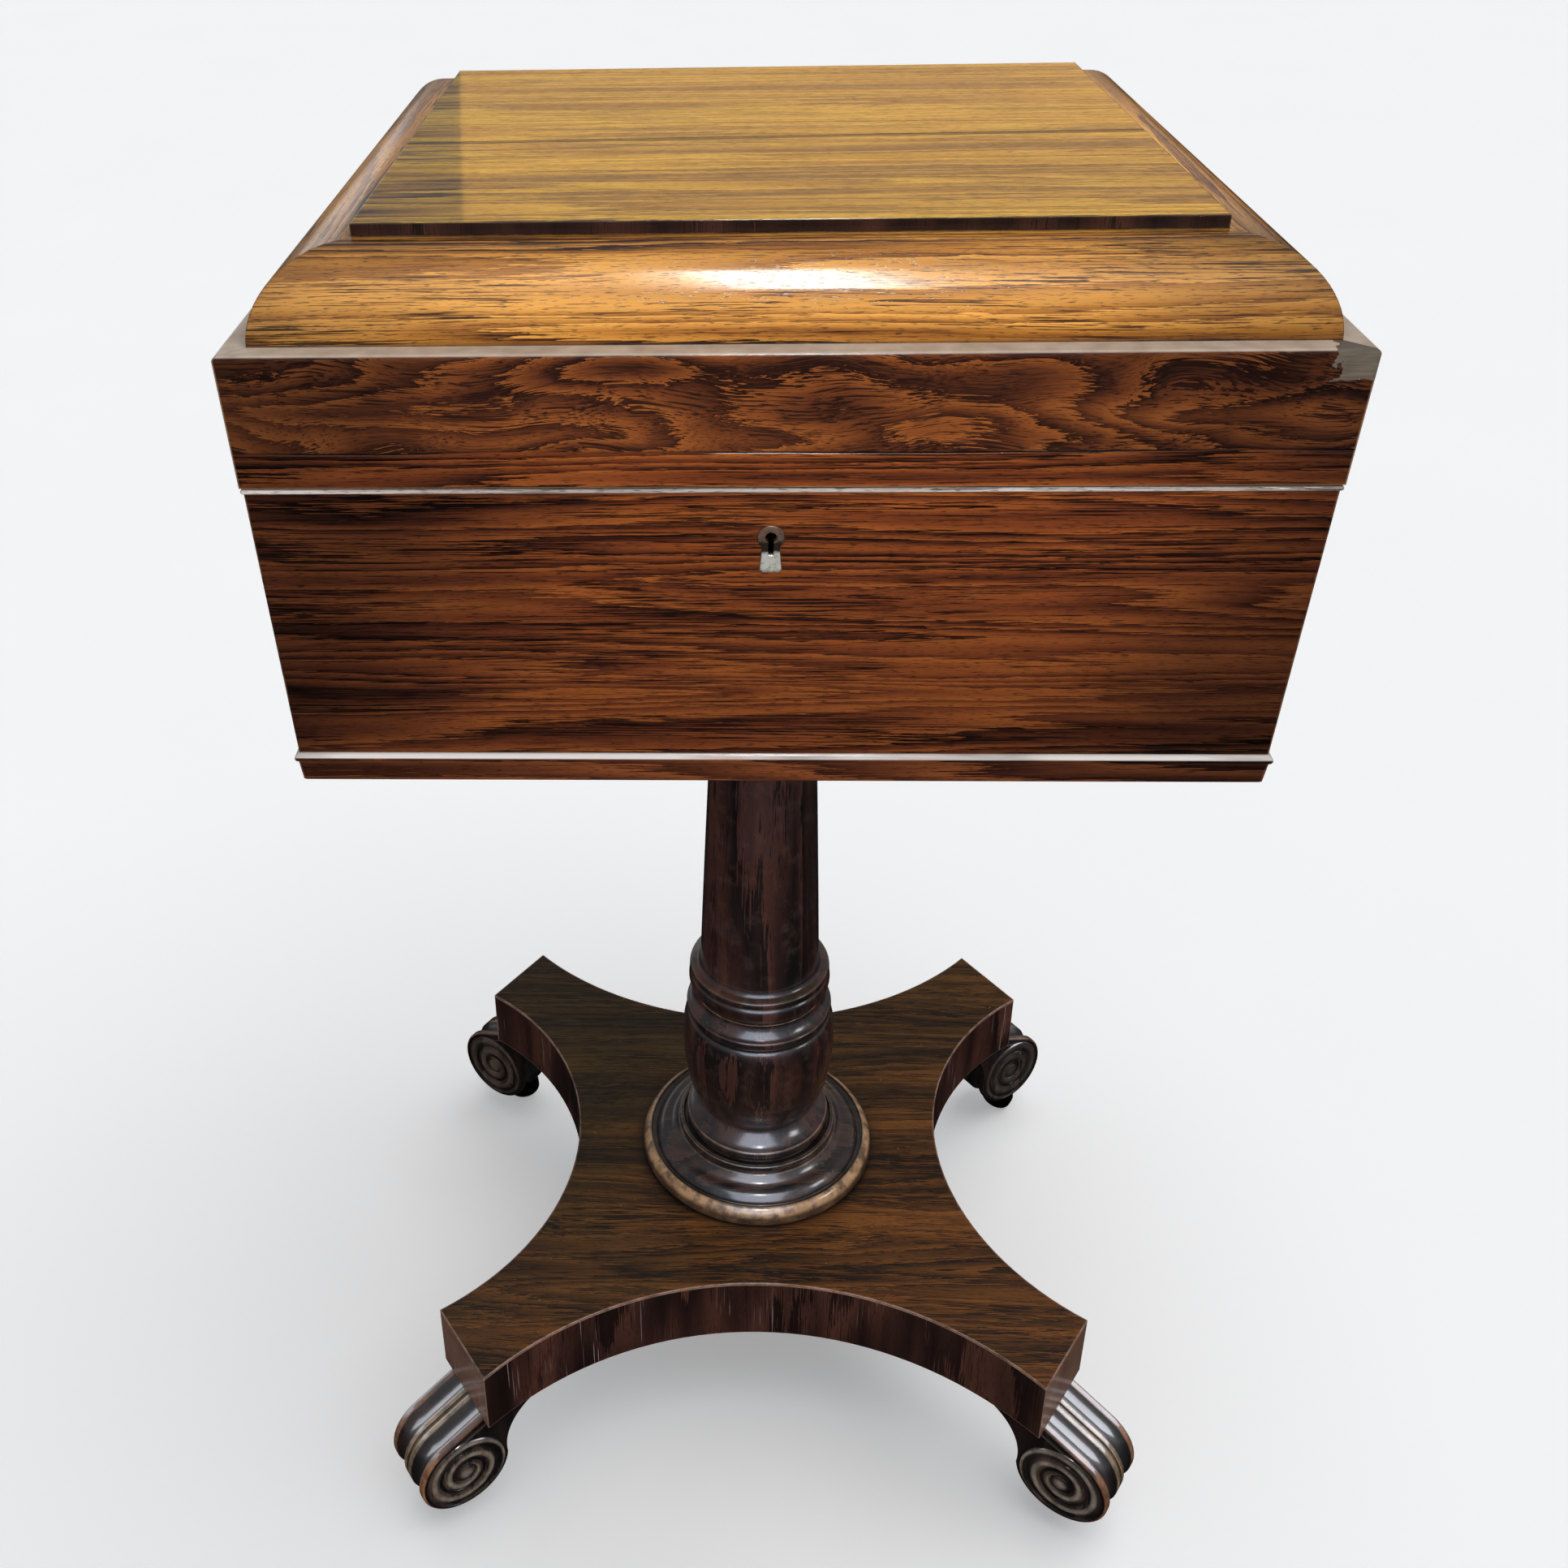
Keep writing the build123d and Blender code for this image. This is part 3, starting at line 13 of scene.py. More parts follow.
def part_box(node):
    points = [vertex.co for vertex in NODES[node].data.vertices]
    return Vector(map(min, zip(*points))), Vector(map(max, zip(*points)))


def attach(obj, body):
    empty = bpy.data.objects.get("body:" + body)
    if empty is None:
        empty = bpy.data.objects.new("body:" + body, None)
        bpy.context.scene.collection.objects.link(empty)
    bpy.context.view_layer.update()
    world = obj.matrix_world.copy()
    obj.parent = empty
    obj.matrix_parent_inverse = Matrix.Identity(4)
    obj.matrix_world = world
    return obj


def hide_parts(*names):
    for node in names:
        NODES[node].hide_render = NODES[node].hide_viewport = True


bl_info = {
    "name": "Teapoy finishes",
    "version": (1, 0, 0),
    "blender": (4, 5, 0),
    "location": "3D View > Sidebar > Teapoy",
    "description": "Polished rosewood, brass, glass and a studio for a tea chest on a pedestal",
    "category": "Object",
}

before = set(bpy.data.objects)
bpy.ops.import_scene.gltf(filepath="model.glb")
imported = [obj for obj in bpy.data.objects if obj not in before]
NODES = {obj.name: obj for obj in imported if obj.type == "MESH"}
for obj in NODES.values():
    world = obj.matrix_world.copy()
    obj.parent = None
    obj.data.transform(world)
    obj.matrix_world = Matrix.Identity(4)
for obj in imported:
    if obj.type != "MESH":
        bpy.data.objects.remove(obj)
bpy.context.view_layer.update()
CORNERS = ("front_left", "front_right", "back_left", "back_right")
SIDES = ("front", "back", "left", "right")


# ---------------------------------------------------------------- sizes
def low(node, axis):
    """Lowest coordinate of a node along one axis, in millimetres."""
    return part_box(node)[0][axis] * 1000


def high(node, axis):
    """Highest coordinate of a node along one axis, in millimetres."""
    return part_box(node)[1][axis] * 1000


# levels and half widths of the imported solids, in millimetres
PLATFORM_TOP = high("platform_top_veneer", 2)
DISC_R, DISC_TOP = high("turned_disc", 0), high("turned_disc", 2)
BEARER_FOOT = low("bearer_block", 2)
MOULDING_TOP = high("base_moulding", 2)
LID_FOOT, SHOULDER = low("lid_frieze_front", 2), high("lid_frieze_front", 2)
LID_HALF_X, LID_HALF_Y = high("lid_frieze_right", 0), high("lid_frieze_back", 1)
KEYHOLE_FOOT, KEYHOLE_TOP = low("keyhole_escutcheon", 2), high("keyhole_escutcheon", 2)

# turned column: radii of the tapered shaft, then the astragal and the cap over it, the sides of a turned
# piece, and the degrees between two faces that make a sharp edge
SHAFT_FOOT_R, SHAFT_TOP_R = 35.7, 27.8
ASTRAGAL_H, ASTRAGAL_OUT = 6.8, 3.4
CAP_R, CAP_H, CAP_NECK_H = 38.0, 10.0, 24.0
LATHE_SIDES, SHARP_ANGLE = 144, 40

# foot: middle of the platform's cut corner, how far round from the side the foot stands, and its half width
CUT_X, CUT_Y = 176.0, 164.5
CUT_TURN = atan2(32.0, 47.0)
FOOT_HALF = 21.0
# its reeds, from the middle line outwards: where the middle one ends and the outermost starts
MIDDLE_REED, OUTER_REED = 4.4, 15.5
# the centre of its scroll, out from the cut corner and up from the floor
SCROLL_OUT, SCROLL_Z = 14.0, 48.6

# volute: its edge, the sunk ground and the ridge's rise over it, how deep its back lies in the foot, the
# radius where the ridge starts, how far it comes in a turn, its sharpness and the button in its middle
VOLUTE_R, VOLUTE_SUNK, VOLUTE_RISE, VOLUTE_UNDER = 26.2, -0.3, 1.5, 1.5
RIDGE_R, RIDGE_PITCH, RIDGE_POWER, BUTTON_R = 23.4, 9.4, 0.8, 5.6
# how wide the ridge fades in from the edge, and out round the button, and the rings of points in all
RIDGE_RAMP, BUTTON_RAMP = 1.0, 1.5
VOLUTE_RINGS = 55

# marks on the veneer. Where a noise moves a line, half of its wander is added to the line's place, since
# the noise is 0.5 on the whole. The crack's place has that in it.
STRIP_H, SEAM_WANDER = 15.0, 3.0                          # straight strip at the foot of the frieze
CHIP_W, CHIP_H, CHIP_RAGGED = 15.0, 12.0, (18.0, 3.0)     # veneer lost at its front right corner
BEAD_H = 2.1                                              # bead on the base moulding
CRACK_HALF, CRACK_WANDER = 2.6, 3.0                       # shrinkage crack across the top
CRACK_Y, CRACK_SLOPE = 15.0, 0.03                         # how far forward it lies, and its slant
BAND_CREEP = 4.0                                         # raggedness of the edges between the bands of colour on the keyhole liner

# round wall behind, in metres, and the camera: its place, with its rise over the platform, its aim in
# radians, its lens and sensor in millimetres, and its shift as a share of the picture
WALL_R, WALL_SIDES = 11.5, 96
CAMERA_X, CAMERA_Y, CAMERA_RISE = -26.776, -809.157, 826.084
YAW, PITCH, ROLL = 0.0458, 0.5190, -0.0221
LENS, SENSOR, SHIFT_X, SHIFT_Y = 38.19, 36.0, 0.0852, -0.0751


# ---------------------------------------------------------------- properties
def linear(colour):
    """An sRGB hex colour as linear red, green, blue and alpha. A linear colour only gains its alpha."""
    if not isinstance(colour, str):
        return [*colour, 1.0]
    levels = [int(colour[i:i + 2], 16) / 255 for i in (1, 3, 5)]
    return [c / 12.92 if c <= 0.04045 else ((c + 0.055) / 1.055) ** 2.4 for c in levels] + [1.0]


class TeapoyTimber(bpy.types.PropertyGroup):
    """Colours and figure of the straight veneer on the case."""
    light: bpy.props.FloatVectorProperty(
        name="Light grain", description="Palest bands of the case veneer", subtype="COLOR",
        size=3, min=0, max=1, default=linear("#a5571d")[:3])
    dark: bpy.props.FloatVectorProperty(
        name="Dark grain", description="Dark bands of the case veneer", subtype="COLOR",
        size=3, min=0, max=1, default=linear("#58260c")[:3])
    figure: bpy.props.FloatProperty(
        name="Figure", description="How far the grain of the straight veneer wanders",
        default=0.009, min=0, max=0.05, unit="LENGTH")


class TeapoyStage(bpy.types.PropertyGroup):
    """Floor, light and viewpoint."""
    floor_size: bpy.props.FloatProperty(
        name="Floor", description="Width of the floor", default=24.0, min=4, unit="LENGTH")
    key_strength: bpy.props.FloatProperty(
        name="Key light", description="Strength of the light from the front right", default=1.25, min=0)
    fill_strength: bpy.props.FloatProperty(
        name="Fill light", description="Strength of the light from the front left", default=0.8, min=0)
    floor_strength: bpy.props.FloatProperty(
        name="Floor light", description="Strength of the light from above on the floor", default=1.36, min=0)
    card_power: bpy.props.FloatProperty(
        name="Cards", description="Power of each white card that the polish mirrors", default=24.0, min=0,
        unit="POWER")
    gold_power: bpy.props.FloatProperty(
        name="Gold reflector", description="Power of the warm reflector that the lid mirrors", default=4.5,
        min=0, unit="POWER")
    room: bpy.props.FloatProperty(
        name="Room light", description="Brightness of the plain room", default=0.30, min=0)


# ---------------------------------------------------------------- nodes and meshes
def add(tree, kind, inputs=None, stops=None, **settings):
    """Add a node with its settings. A node or a socket given as an input is linked, the rest are values.

    Inputs go by name or by number. Map Range takes a value from the span 1 to 2 on to 3 to 4, or on to 0
    to 1 where no 3 and 4 are given. Mix has its share at 0 and the two things mixed at 2 and 3 for numbers,
    4 and 5 for vectors, 6 and 7 for colours. Mapping has a place at 1, a turn at 2 and a scale at 3.
    """
    node = tree.nodes.new("ShaderNode" + kind)
    for key, value in settings.items():
        setattr(node, key, value)
    for key, value in (inputs or {}).items():
        if isinstance(value, bpy.types.Node):
            value = value.outputs[0]
        if isinstance(value, bpy.types.NodeSocket):
            tree.links.new(value, node.inputs[key])
        else:
            node.inputs[key].default_value = value
    if stops:
        ramp = node.color_ramp
        while len(ramp.elements) < len(stops):
            ramp.elements.new(0.5)
        for element, (place, colour) in zip(ramp.elements, stops):
            element.position = place
            element.color = linear(colour)
    return node


def new_material(name):
    """A material with an empty node tree."""
    material = bpy.data.materials.new(name)
    material.use_nodes = True
    material.node_tree.nodes.clear()
    return material, material.node_tree


def give(node, material):
    """Put one material in every slot of a CAD node."""
    slots = NODES[node].material_slots
    if not len(slots):
        raise RuntimeError(f"{node} has no material slot")
    for slot in slots:
        slot.material = material


def new_piece(name, points, faces, body, slot, material):
    """A mesh object at the origin that rides on a body, shaded smooth except over sharp edges."""
    mesh = bpy.data.meshes.new(name)
    mesh.from_pydata(points.tolist(), [], [face for group in faces for face in group.tolist()])
    mesh.update()
    piece = bpy.data.objects.new(name, mesh)
    bpy.context.scene.collection.objects.link(piece)
    mesh.materials.append(material)
    mesh.shade_smooth()
    mesh.set_sharp_from_angle(angle=radians(SHARP_ANGLE))
    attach(piece, body)
    return piece


def member(foot, head, rise, steps=14):
    """One turned moulding as points of radius and height from its foot to its head.

    The angle a runs from -90 to 90 degrees. Both radius and height go from foot to head with
    (1 + sin a) / 2, and the radius also stands out by rise times cos a: a rise over 0 is a torus, one
    under 0 a hollow, and 0 a straight fillet or taper.
    """
    angle = np.linspace(-pi / 2, pi / 2, steps)
    share = (1 + np.sin(angle)) / 2
    radius = foot[0] + (head[0] - foot[0]) * share + rise * np.cos(angle)
    height = foot[1] + (head[1] - foot[1]) * share
    return np.column_stack((radius, height))


def ogee(foot, head, swell, steps=20):
    """A double-curved slope: straight from foot to head, plus swell times sin 2 pi t in height."""
    share = np.linspace(0, 1, steps)
    radius = foot[0] + (head[0] - foot[0]) * share
    height = foot[1] + (head[1] - foot[1]) * share + swell * np.sin(2 * pi * share)
    return np.column_stack((radius, height))


def lathe(profile, sides):
    """Points and faces of a profile of radius and height turned about the Z axis, closed at both ends.

    Point (i, j) is at radius r(i), height z(i) and angle 2 pi j / sides. One point at radius 0 closes
    each end with a fan.
    """
    angle = np.arange(sides) * 2 * pi / sides
    radius, height = profile[:, :1], profile[:, 1:]
    rings = np.stack((radius * np.cos(angle), radius * np.sin(angle), height + 0 * angle), axis=-1)
    points = np.vstack((rings.reshape(-1, 3), (0, 0, height[0, 0]), (0, 0, height[-1, 0]))) / 1000
    return points, round_faces(len(profile), sides)


def round_faces(rows, sides):
    """Faces of rings of points, row by row, with a fan at the first ring and one at the last.

    The middles of the two fans are the two points after the rings.
    """
    middles, row = rows * sides, np.arange(rows - 1)[:, None] * sides
    here, after = np.arange(sides), (np.arange(sides) + 1) % sides
    corners = np.broadcast_arrays(row + here, row + after, row + sides + after, row + sides + here)
    first_fan = np.column_stack((after, here, 0 * here + middles))
    last_fan = np.column_stack((middles - sides + here, middles - sides + after, 0 * here + middles + 1))
    return np.stack(corners, axis=-1).reshape(-1, 4), first_fan, last_fan


# ---------------------------------------------------------------- timber
def millimetres(tree):
    """The piece's own coordinates in millimetres."""
    place = add(tree, "TexCoord").outputs["Object"]
    return add(tree, "VectorMath", {0: place, "Scale": 1000.0}, operation="SCALE")


def grain_frame(tree, along):
    """Millimetres with the grain along the first coordinate, and the three axes as they were.

    "mitred" follows the two directions of a mitred frame: side lengths are those where
    |x| less the half length of the ridge is greater than |y|.
    """
    axes = add(tree, "SeparateXYZ", {0: millimetres(tree)}).outputs
    order = {"x": (0, 1, 2), "y": (1, 0, 2), "z": (2, 0, 1)}
    if along in order:
        a, b, c = order[along]
        return add(tree, "CombineXYZ", {0: axes[a], 1: axes[b], 2: axes[c]}), axes
    ridge = add(tree, "Math", {0: axes[0]}, operation="ABSOLUTE")
    inner = add(tree, "Math", {0: ridge, 1: LID_HALF_X - LID_HALF_Y}, operation="SUBTRACT")
    across = add(tree, "Math", {0: axes[1]}, operation="ABSOLUTE")
    side = add(tree, "Math", {0: inner, 1: across}, operation="GREATER_THAN")
    first = add(tree, "Mix", {0: side, 2: axes[0], 3: axes[1]}, data_type="FLOAT")
    second = add(tree, "Mix", {0: side, 2: axes[1], 3: axes[0]}, data_type="FLOAT")
    return add(tree, "CombineXYZ", {0: first, 1: second, 2: axes[2]}), axes


def stretched(tree, place, length, width, detail):
    """A noise whose blotches are length by width millimetres, long way with the grain."""
    scaled = add(tree, "Mapping", {0: place, 3: (1 / length, 1 / width, 1 / width)})
    return add(tree, "TexNoise", {"Vector": scaled, "Scale": 1.0, "Detail": detail, "Roughness": 0.5})


def patchy(tree, place, size, span, share, detail=4.0, roughness=0.65):
    """Worn patches about size millimetres wide: their noise, and a mask that climbs over a span of it."""
    noise = add(tree, "TexNoise", {"Vector": place, "Scale": 1 / size, "Detail": detail,
                                   "Roughness": roughness})
    return noise, add(tree, "MapRange", {0: noise, 1: span[0], 2: span[1], 3: share[0], 4: share[1]})


def grain(tree, place, timber):
    """Colour and pore depth of sliced rosewood.

    Growth rings are the levels of one slow noise: its value times the number of rings, less the whole
    part, climbs from pale wood to a dark line and falls back. A fibre noise frays the lines and mottles
    the colour, a second slow noise gathers the wood in light and dark bands, and short streaks and pores
    lie along the grain. Before all this, a noise as wide as the figure pushes the coordinates sideways.
    """
    wander = stretched(tree, place, *timber["figure_size"], 1.5).outputs["Color"]
    centred = add(tree, "VectorMath", {0: wander, 1: (0.5, 0.5, 0.5)}, operation="SUBTRACT")
    curl = (0.0, timber["figure"], timber["figure"])
    pushed = add(tree, "VectorMath", {0: centred, 1: curl}, operation="MULTIPLY")
    bent = add(tree, "VectorMath", {0: place, 1: pushed}, operation="ADD")
    fibre = stretched(tree, bent, *timber["fibre_size"], 3.0)
    slow = stretched(tree, bent, *timber["ring_size"], 2.0)
    count = add(tree, "Math", {0: slow, 1: timber["rings"]}, operation="MULTIPLY")
    frayed = add(tree, "Math", {0: fibre, 1: timber["fray"], 2: count}, operation="MULTIPLY_ADD")
    climb = add(tree, "Math", {0: frayed}, operation="FRACT")
    bands = stretched(tree, bent, *timber["band_size"], 4.0)
    level = add(tree, "MapRange", {0: bands, 1: 0.34, 2: 0.66, 3: -timber["banding"], 4: timber["banding"]})
    shade = add(tree, "Math", {0: climb, 1: level}, operation="ADD")
    tones = [timber[tone] for tone in ("light", "middle", "dark", "line")]
    base = add(tree, "ValToRGB", {0: shade}, stops=list(zip(RING_STOPS, tones))).outputs["Color"]
    gather = stretched(tree, bent, *timber["cluster_size"], 2.0)
    streaks = stretched(tree, bent, *timber["streak_size"], 3.0)
    reach = add(tree, "MapRange", {0: gather, 1: 0.36, 2: 0.64, 3: STREAK_RARE, 4: timber["streak_edge"]})
    over = add(tree, "Math", {0: streaks, 1: reach}, operation="SUBTRACT")
    streak = add(tree, "MapRange", {0: over, 1: 0.0, 2: STREAK_BLUR, 3: 0.0, 4: STREAK_DEPTH})
    pores = stretched(tree, bent, *timber["pore_size"], 1.0)
    holes = add(tree, "MapRange", {0: pores, 1: 0.60, 2: 0.68, 3: 0.0, 4: timber["pores"]})
    pored = laid(tree, laid(tree, base, timber["line"], streak), timber["line"], holes)
    light_fibre = add(tree, "MapRange", {0: fibre, 1: 0.30, 2: 0.70, 3: 1 - FIBRE_CONTRAST,
                                         4: 1 + FIBRE_CONTRAST})
    return add(tree, "VectorMath", {0: pored, "Scale": light_fibre}, operation="SCALE").outputs[0], holes


def shaded_ends(tree, place, colour, half, least, middle=0.0, lean=0.0, foot=1.0):
    """Darken a colour on both sides of the middle of a run of veneer, unevenly: partly darker polish, partly
    painted shade where the light falls off towards the ends.

    The middle moves back by lean for each millimetre below the shoulder of the case, and low on the case
    the colour sinks to the share given as foot.
    """
    axes = add(tree, "SeparateXYZ", {0: place}).outputs
    drop = add(tree, "Math", {0: SHOULDER, 1: axes[2]}, operation="SUBTRACT")
    out = add(tree, "Math", {0: drop, 1: lean, 2: axes[0]}, operation="MULTIPLY_ADD")
    out = add(tree, "Math", {0: out, 1: middle}, operation="SUBTRACT")
    out = add(tree, "Math", {0: out}, operation="ABSOLUTE")
    drift = stretched(tree, place, 90, 40, 2.0)
    far = add(tree, "Math", {0: drift, 1: SHADE_DRIFT * half, 2: out}, operation="MULTIPLY_ADD")
    tone = add(tree, "MapRange", {0: far, 1: SHADE_FROM * half, 2: SHADE_TO * half, 3: 1.0, 4: least},
               interpolation_type="SMOOTHSTEP")
    sinking = add(tree, "MapRange", {0: drop, 1: SINK_FROM, 2: SINK_TO, 3: 1.0, 4: foot})
    tone = add(tree, "Math", {0: tone, 1: sinking}, operation="MULTIPLY")
    return add(tree, "VectorMath", {0: colour, "Scale": tone}, operation="SCALE").outputs[0]


def laid(tree, under, over, *masks):
    """One colour, a socket or a hex, laid over another where every mask is 1. A mask may be a number."""
    share = masks[0]
    for mask in masks[1:]:
        share = add(tree, "Math", {0: share, 1: mask}, operation="MULTIPLY")
    under, over = (linear(c) if isinstance(c, str) else c for c in (under, over))
    return add(tree, "Mix", {0: share, 6: under, 7: over}, data_type="RGBA").outputs[2]


def edges(tree, radius):
    """How near an arris is (0 to 1), and the normal rounded over it."""
    soft = add(tree, "Bevel", {"Radius": radius / 1000}, samples=6)
    hard = add(tree, "NewGeometry").outputs["True Normal"]
    agree = add(tree, "VectorMath", {0: soft, 1: hard}, operation="DOT_PRODUCT").outputs["Value"]
    return add(tree, "MapRange", {0: agree, 1: 0.985, 2: 0.86}), soft


def hollows(tree, reach):
    """1 at the foot of a corner or groove about as deep as reach, falling to 0 in the open: where dirt and
    painted shade are laid.
    """
    open_sky = add(tree, "AmbientOcclusion", {"Distance": reach / 1000}, samples=6)
    return add(tree, "MapRange", {0: open_sky.outputs["AO"], 1: 0.92, 2: 0.45})


def hairline(tree, value, half):
    """1 on the zero line of a value, falling to 0 at half a line's width."""
    away = add(tree, "Math", {0: value}, operation="ABSOLUTE")
    return add(tree, "MapRange", {0: away, 1: half * 0.4, 2: half, 3: 1.0, 4: 0.0})


def upward(tree):
    """1 on faces that look up while the lid is closed, 0 on the others, in the piece's own frame."""
    facing = add(tree, "SeparateXYZ", {0: add(tree, "TexCoord").outputs["Normal"]})
    return add(tree, "MapRange", {0: facing.outputs[2], 1: 0.55, 2: 0.85})


def polish(material, tree, colour, holes, finish, soft=None, extra_height=None):
    """French polish over timber: a thin clear coat with slight waves, sunk over the pores."""
    place = millimetres(tree)
    waves = add(tree, "TexNoise", {"Vector": place, "Scale": 1 / finish["wave_size"], "Detail": 2.0})
    dullest = finish["roughness"] + finish["scuffs"]
    rough = patchy(tree, place, SCUFF_SIZE, (0.35, 0.70), (finish["roughness"], dullest), detail=5.0)[1]
    height = add(tree, "Math", {0: waves, 1: finish["waves"]}, operation="MULTIPLY")
    height = add(tree, "Math", {0: holes, 1: -finish["sunk"], 2: height}, operation="MULTIPLY_ADD")
    if extra_height is not None:
        height = add(tree, "Math", {0: height, 1: extra_height}, operation="ADD")
    normal = {"Height": height, "Strength": 1.0, "Distance": 0.001}
    if soft is not None:
        normal["Normal"] = soft
    bumped = add(tree, "Bump", normal)
    shader = add(tree, "BsdfPrincipled", {
        "Base Color": colour, "Roughness": rough, "Normal": bumped, "Coat Normal": bumped,
        "Specular IOR Level": finish["specular"], "Coat Weight": finish["coat"],
        "Coat Roughness": finish["coat_roughness"], "Coat IOR": 1.5})
    add(tree, "OutputMaterial", {"Surface": shader})
    return material


# where in a growth ring its four colours lie
RING_STOPS = (0.0, 0.45, 0.80, 1.0)
FIBRE_CONTRAST = 0.22                  # how much single fibres lighten and darken the wood
STREAK_DEPTH, STREAK_BLUR = 0.92, 0.05
STREAK_RARE = 0.68                     # level over which a streak shows where the fewest gather
SCUFF_SIZE = 22.0
# shares of a half length at which the ends start and stop to darken, and how unevenly they do
SHADE_FROM, SHADE_TO, SHADE_DRIFT = 0.60, 1.25, 0.5
SINK_FROM, SINK_TO = 70.0, 160.0       # depth below the shoulder over which the case darkens
DIRT_AND_SHADE, SET_DIRT_AND_SHADE = "#080403", "#050303"  # dirt and painted shade in plain joints and corners, and in turned and carved work

# Sizes of a timber are in millimetres: length with the grain, width across it.
# Brazilian rosewood, sliced as veneer: orange-brown wood with near-black lines and open, dark pores.
ROSEWOOD = {
    "light": "#a5571d", "middle": "#823d13", "dark": "#58260c", "line": "#1c0a05",
    "figure": 9.0, "figure_size": (260, 60), "ring_size": (800, 34), "rings": 17, "fray": 1.3,
    "band_size": (420, 26), "banding": 0.30, "fibre_size": (30, 0.6), "cluster_size": (150, 16),
    "streak_size": (46, 0.6), "streak_edge": 0.50, "pore_size": (5, 0.4), "pores": 0.7,
}
# cut near a crotch: broad swirls with fewer lines, a little greyer
FIGURED = dict(ROSEWOOD, light="#a35a22", middle="#7c3f16", dark="#532710", line="#2c130a", figure=24.0,
               figure_size=(80, 30), ring_size=(260, 60), rings=16, banding=0.22)
# bleached by the sun and clean-polished: glowing orange with brown streaks
CUSHION = dict(ROSEWOOD, light="#ffb450", middle="#e09538", dark="#a56424", line="#3a1c0c",
               streak_edge=0.49, rings=12)
# faded the most, where the light fell: straw and olive with soft dark streaks, its gold partly a painted
# reflection of warm light
FADED_WITH_PAINTED_REFLECTION = dict(ROSEWOOD, light="#dfae34", middle="#b98822", dark="#84571a", line="#2c1a08", rings=12,
             streak_edge=0.46, fray=0.8, banding=0.50)
# laid with the grain upright round an edge: dark purple-brown in narrow upright bands
CROSSBAND = dict(ROSEWOOD, light="#4a2a20", middle="#321b15", dark="#20110e", line="#1a0e0b",
                 ring_size=(200, 40), rings=4, banding=0.3, fray=0.9, streak_edge=0.56)
# shaded by the box for most of its life: brown to olive with short ragged streaks
OLIVE = dict(ROSEWOOD, light="#744a22", middle="#543416", dark="#3a2410", line="#170d06", rings=14,
             figure=26.0, banding=0.40, streak_edge=0.50, streak_size=(26, 0.9), fray=1.8)
# solid, turned: deep purple-brown with long faint lines
PURPLE = dict(ROSEWOOD, light="#48251a", middle="#301610", dark="#1b0b08", line="#0c0505",
              ring_size=(600, 30), rings=5, figure=4.0, fibre_size=(60, 1.2), fray=0.9, pores=0.35)
DISC_WOOD = dict(PURPLE, light="#4a3022", middle="#2c1a13", dark="#150c09", ring_size=(70, 30))
# solid, carved and stained: almost black, its grain just showing
EBONISED = dict(PURPLE, light="#2a1610", middle="#170b09", dark="#0d0606", line="#060303")
VOLUTE_WOOD = dict(EBONISED, light="#4a392e", middle="#33261f", dark="#211813")
# moulding wood, darker than the case over it
MOULDING_WOOD = dict(ROSEWOOD, light="#84451c", middle="#5f2d10", dark="#3d190a")
# strip painted almost white as a highlight along the bead: a pale line with grey grain
PAINTED_HIGHLIGHT_BEAD_WOOD = dict(ROSEWOOD, light="#f4ece6", middle="#dccfc6", dark="#a39388", rings=5)
# mahogany and beech under the veneer: plain mid-brown, hardly figured
CARCASS = dict(ROSEWOOD, light="#b0763f", middle="#925a2b", dark="#74461f", line="#4a2913",
               streak_edge=0.60, figure=6.0)

# French polish: a satin sheen that breaks up over scuffs, under a thin clear coat
SATIN = {"roughness": 0.42, "scuffs": 0.16, "waves": 0.05, "wave_size": 26, "sunk": 0.03, "specular": 0.14,
         "coat": 0.30, "coat_roughness": 0.12}
# rubbed up more on the cushion: one long bright highlight along it
CUSHION_SHINE = dict(SATIN, coat=0.65, coat_roughness=0.14, specular=0.2)
# flattest and brightest on the top: it mirrors what stands behind
MIRROR = dict(SATIN, coat=0.5, coat_roughness=0.06, waves=0.04, specular=0.2)
# built up thick on turned and carved work: wet-looking highlights on each ring and reed
TURNED_SHINE = dict(SATIN, coat=1.0, coat_roughness=0.16, specular=0.3, waves=0.12, wave_size=16)
CARVED_SHINE = dict(SATIN, coat=1.0, coat_roughness=0.12, specular=0.4, waves=0.10, wave_size=12)
# worn thin on the platform: barely a gleam
RUBBED = dict(SATIN, coat=0.15, specular=0.25, roughness=0.5)
# bare wood with a wipe of wax, out of sight
DULL = dict(SATIN, coat=0.05, coat_roughness=0.3, roughness=0.6)


def veneer(name, timber, along, finish, wear="#b08a68", ends=None):
    """Polished veneer whose arrises have rubbed through to paler wood in broken lines."""
    material, tree = new_material(name)
    place = grain_frame(tree, along)[0]
    colour, holes = grain(tree, place, timber)
    if ends:
        colour = shaded_ends(tree, place, colour, *ends)
    near, soft = edges(tree, radius=0.9)
    rubbed = patchy(tree, place, 14.0, span=(0.42, 0.60), share=(0.0, 0.55), roughness=0.7)[1]
    colour = laid(tree, colour, wear, near, rubbed)
    # dirt and painted shade in the joints and corners
    colour = laid(tree, colour, DIRT_AND_SHADE, hollows(tree, reach=2.5), 0.85)
    return polish(material, tree, colour, holes, finish, soft)


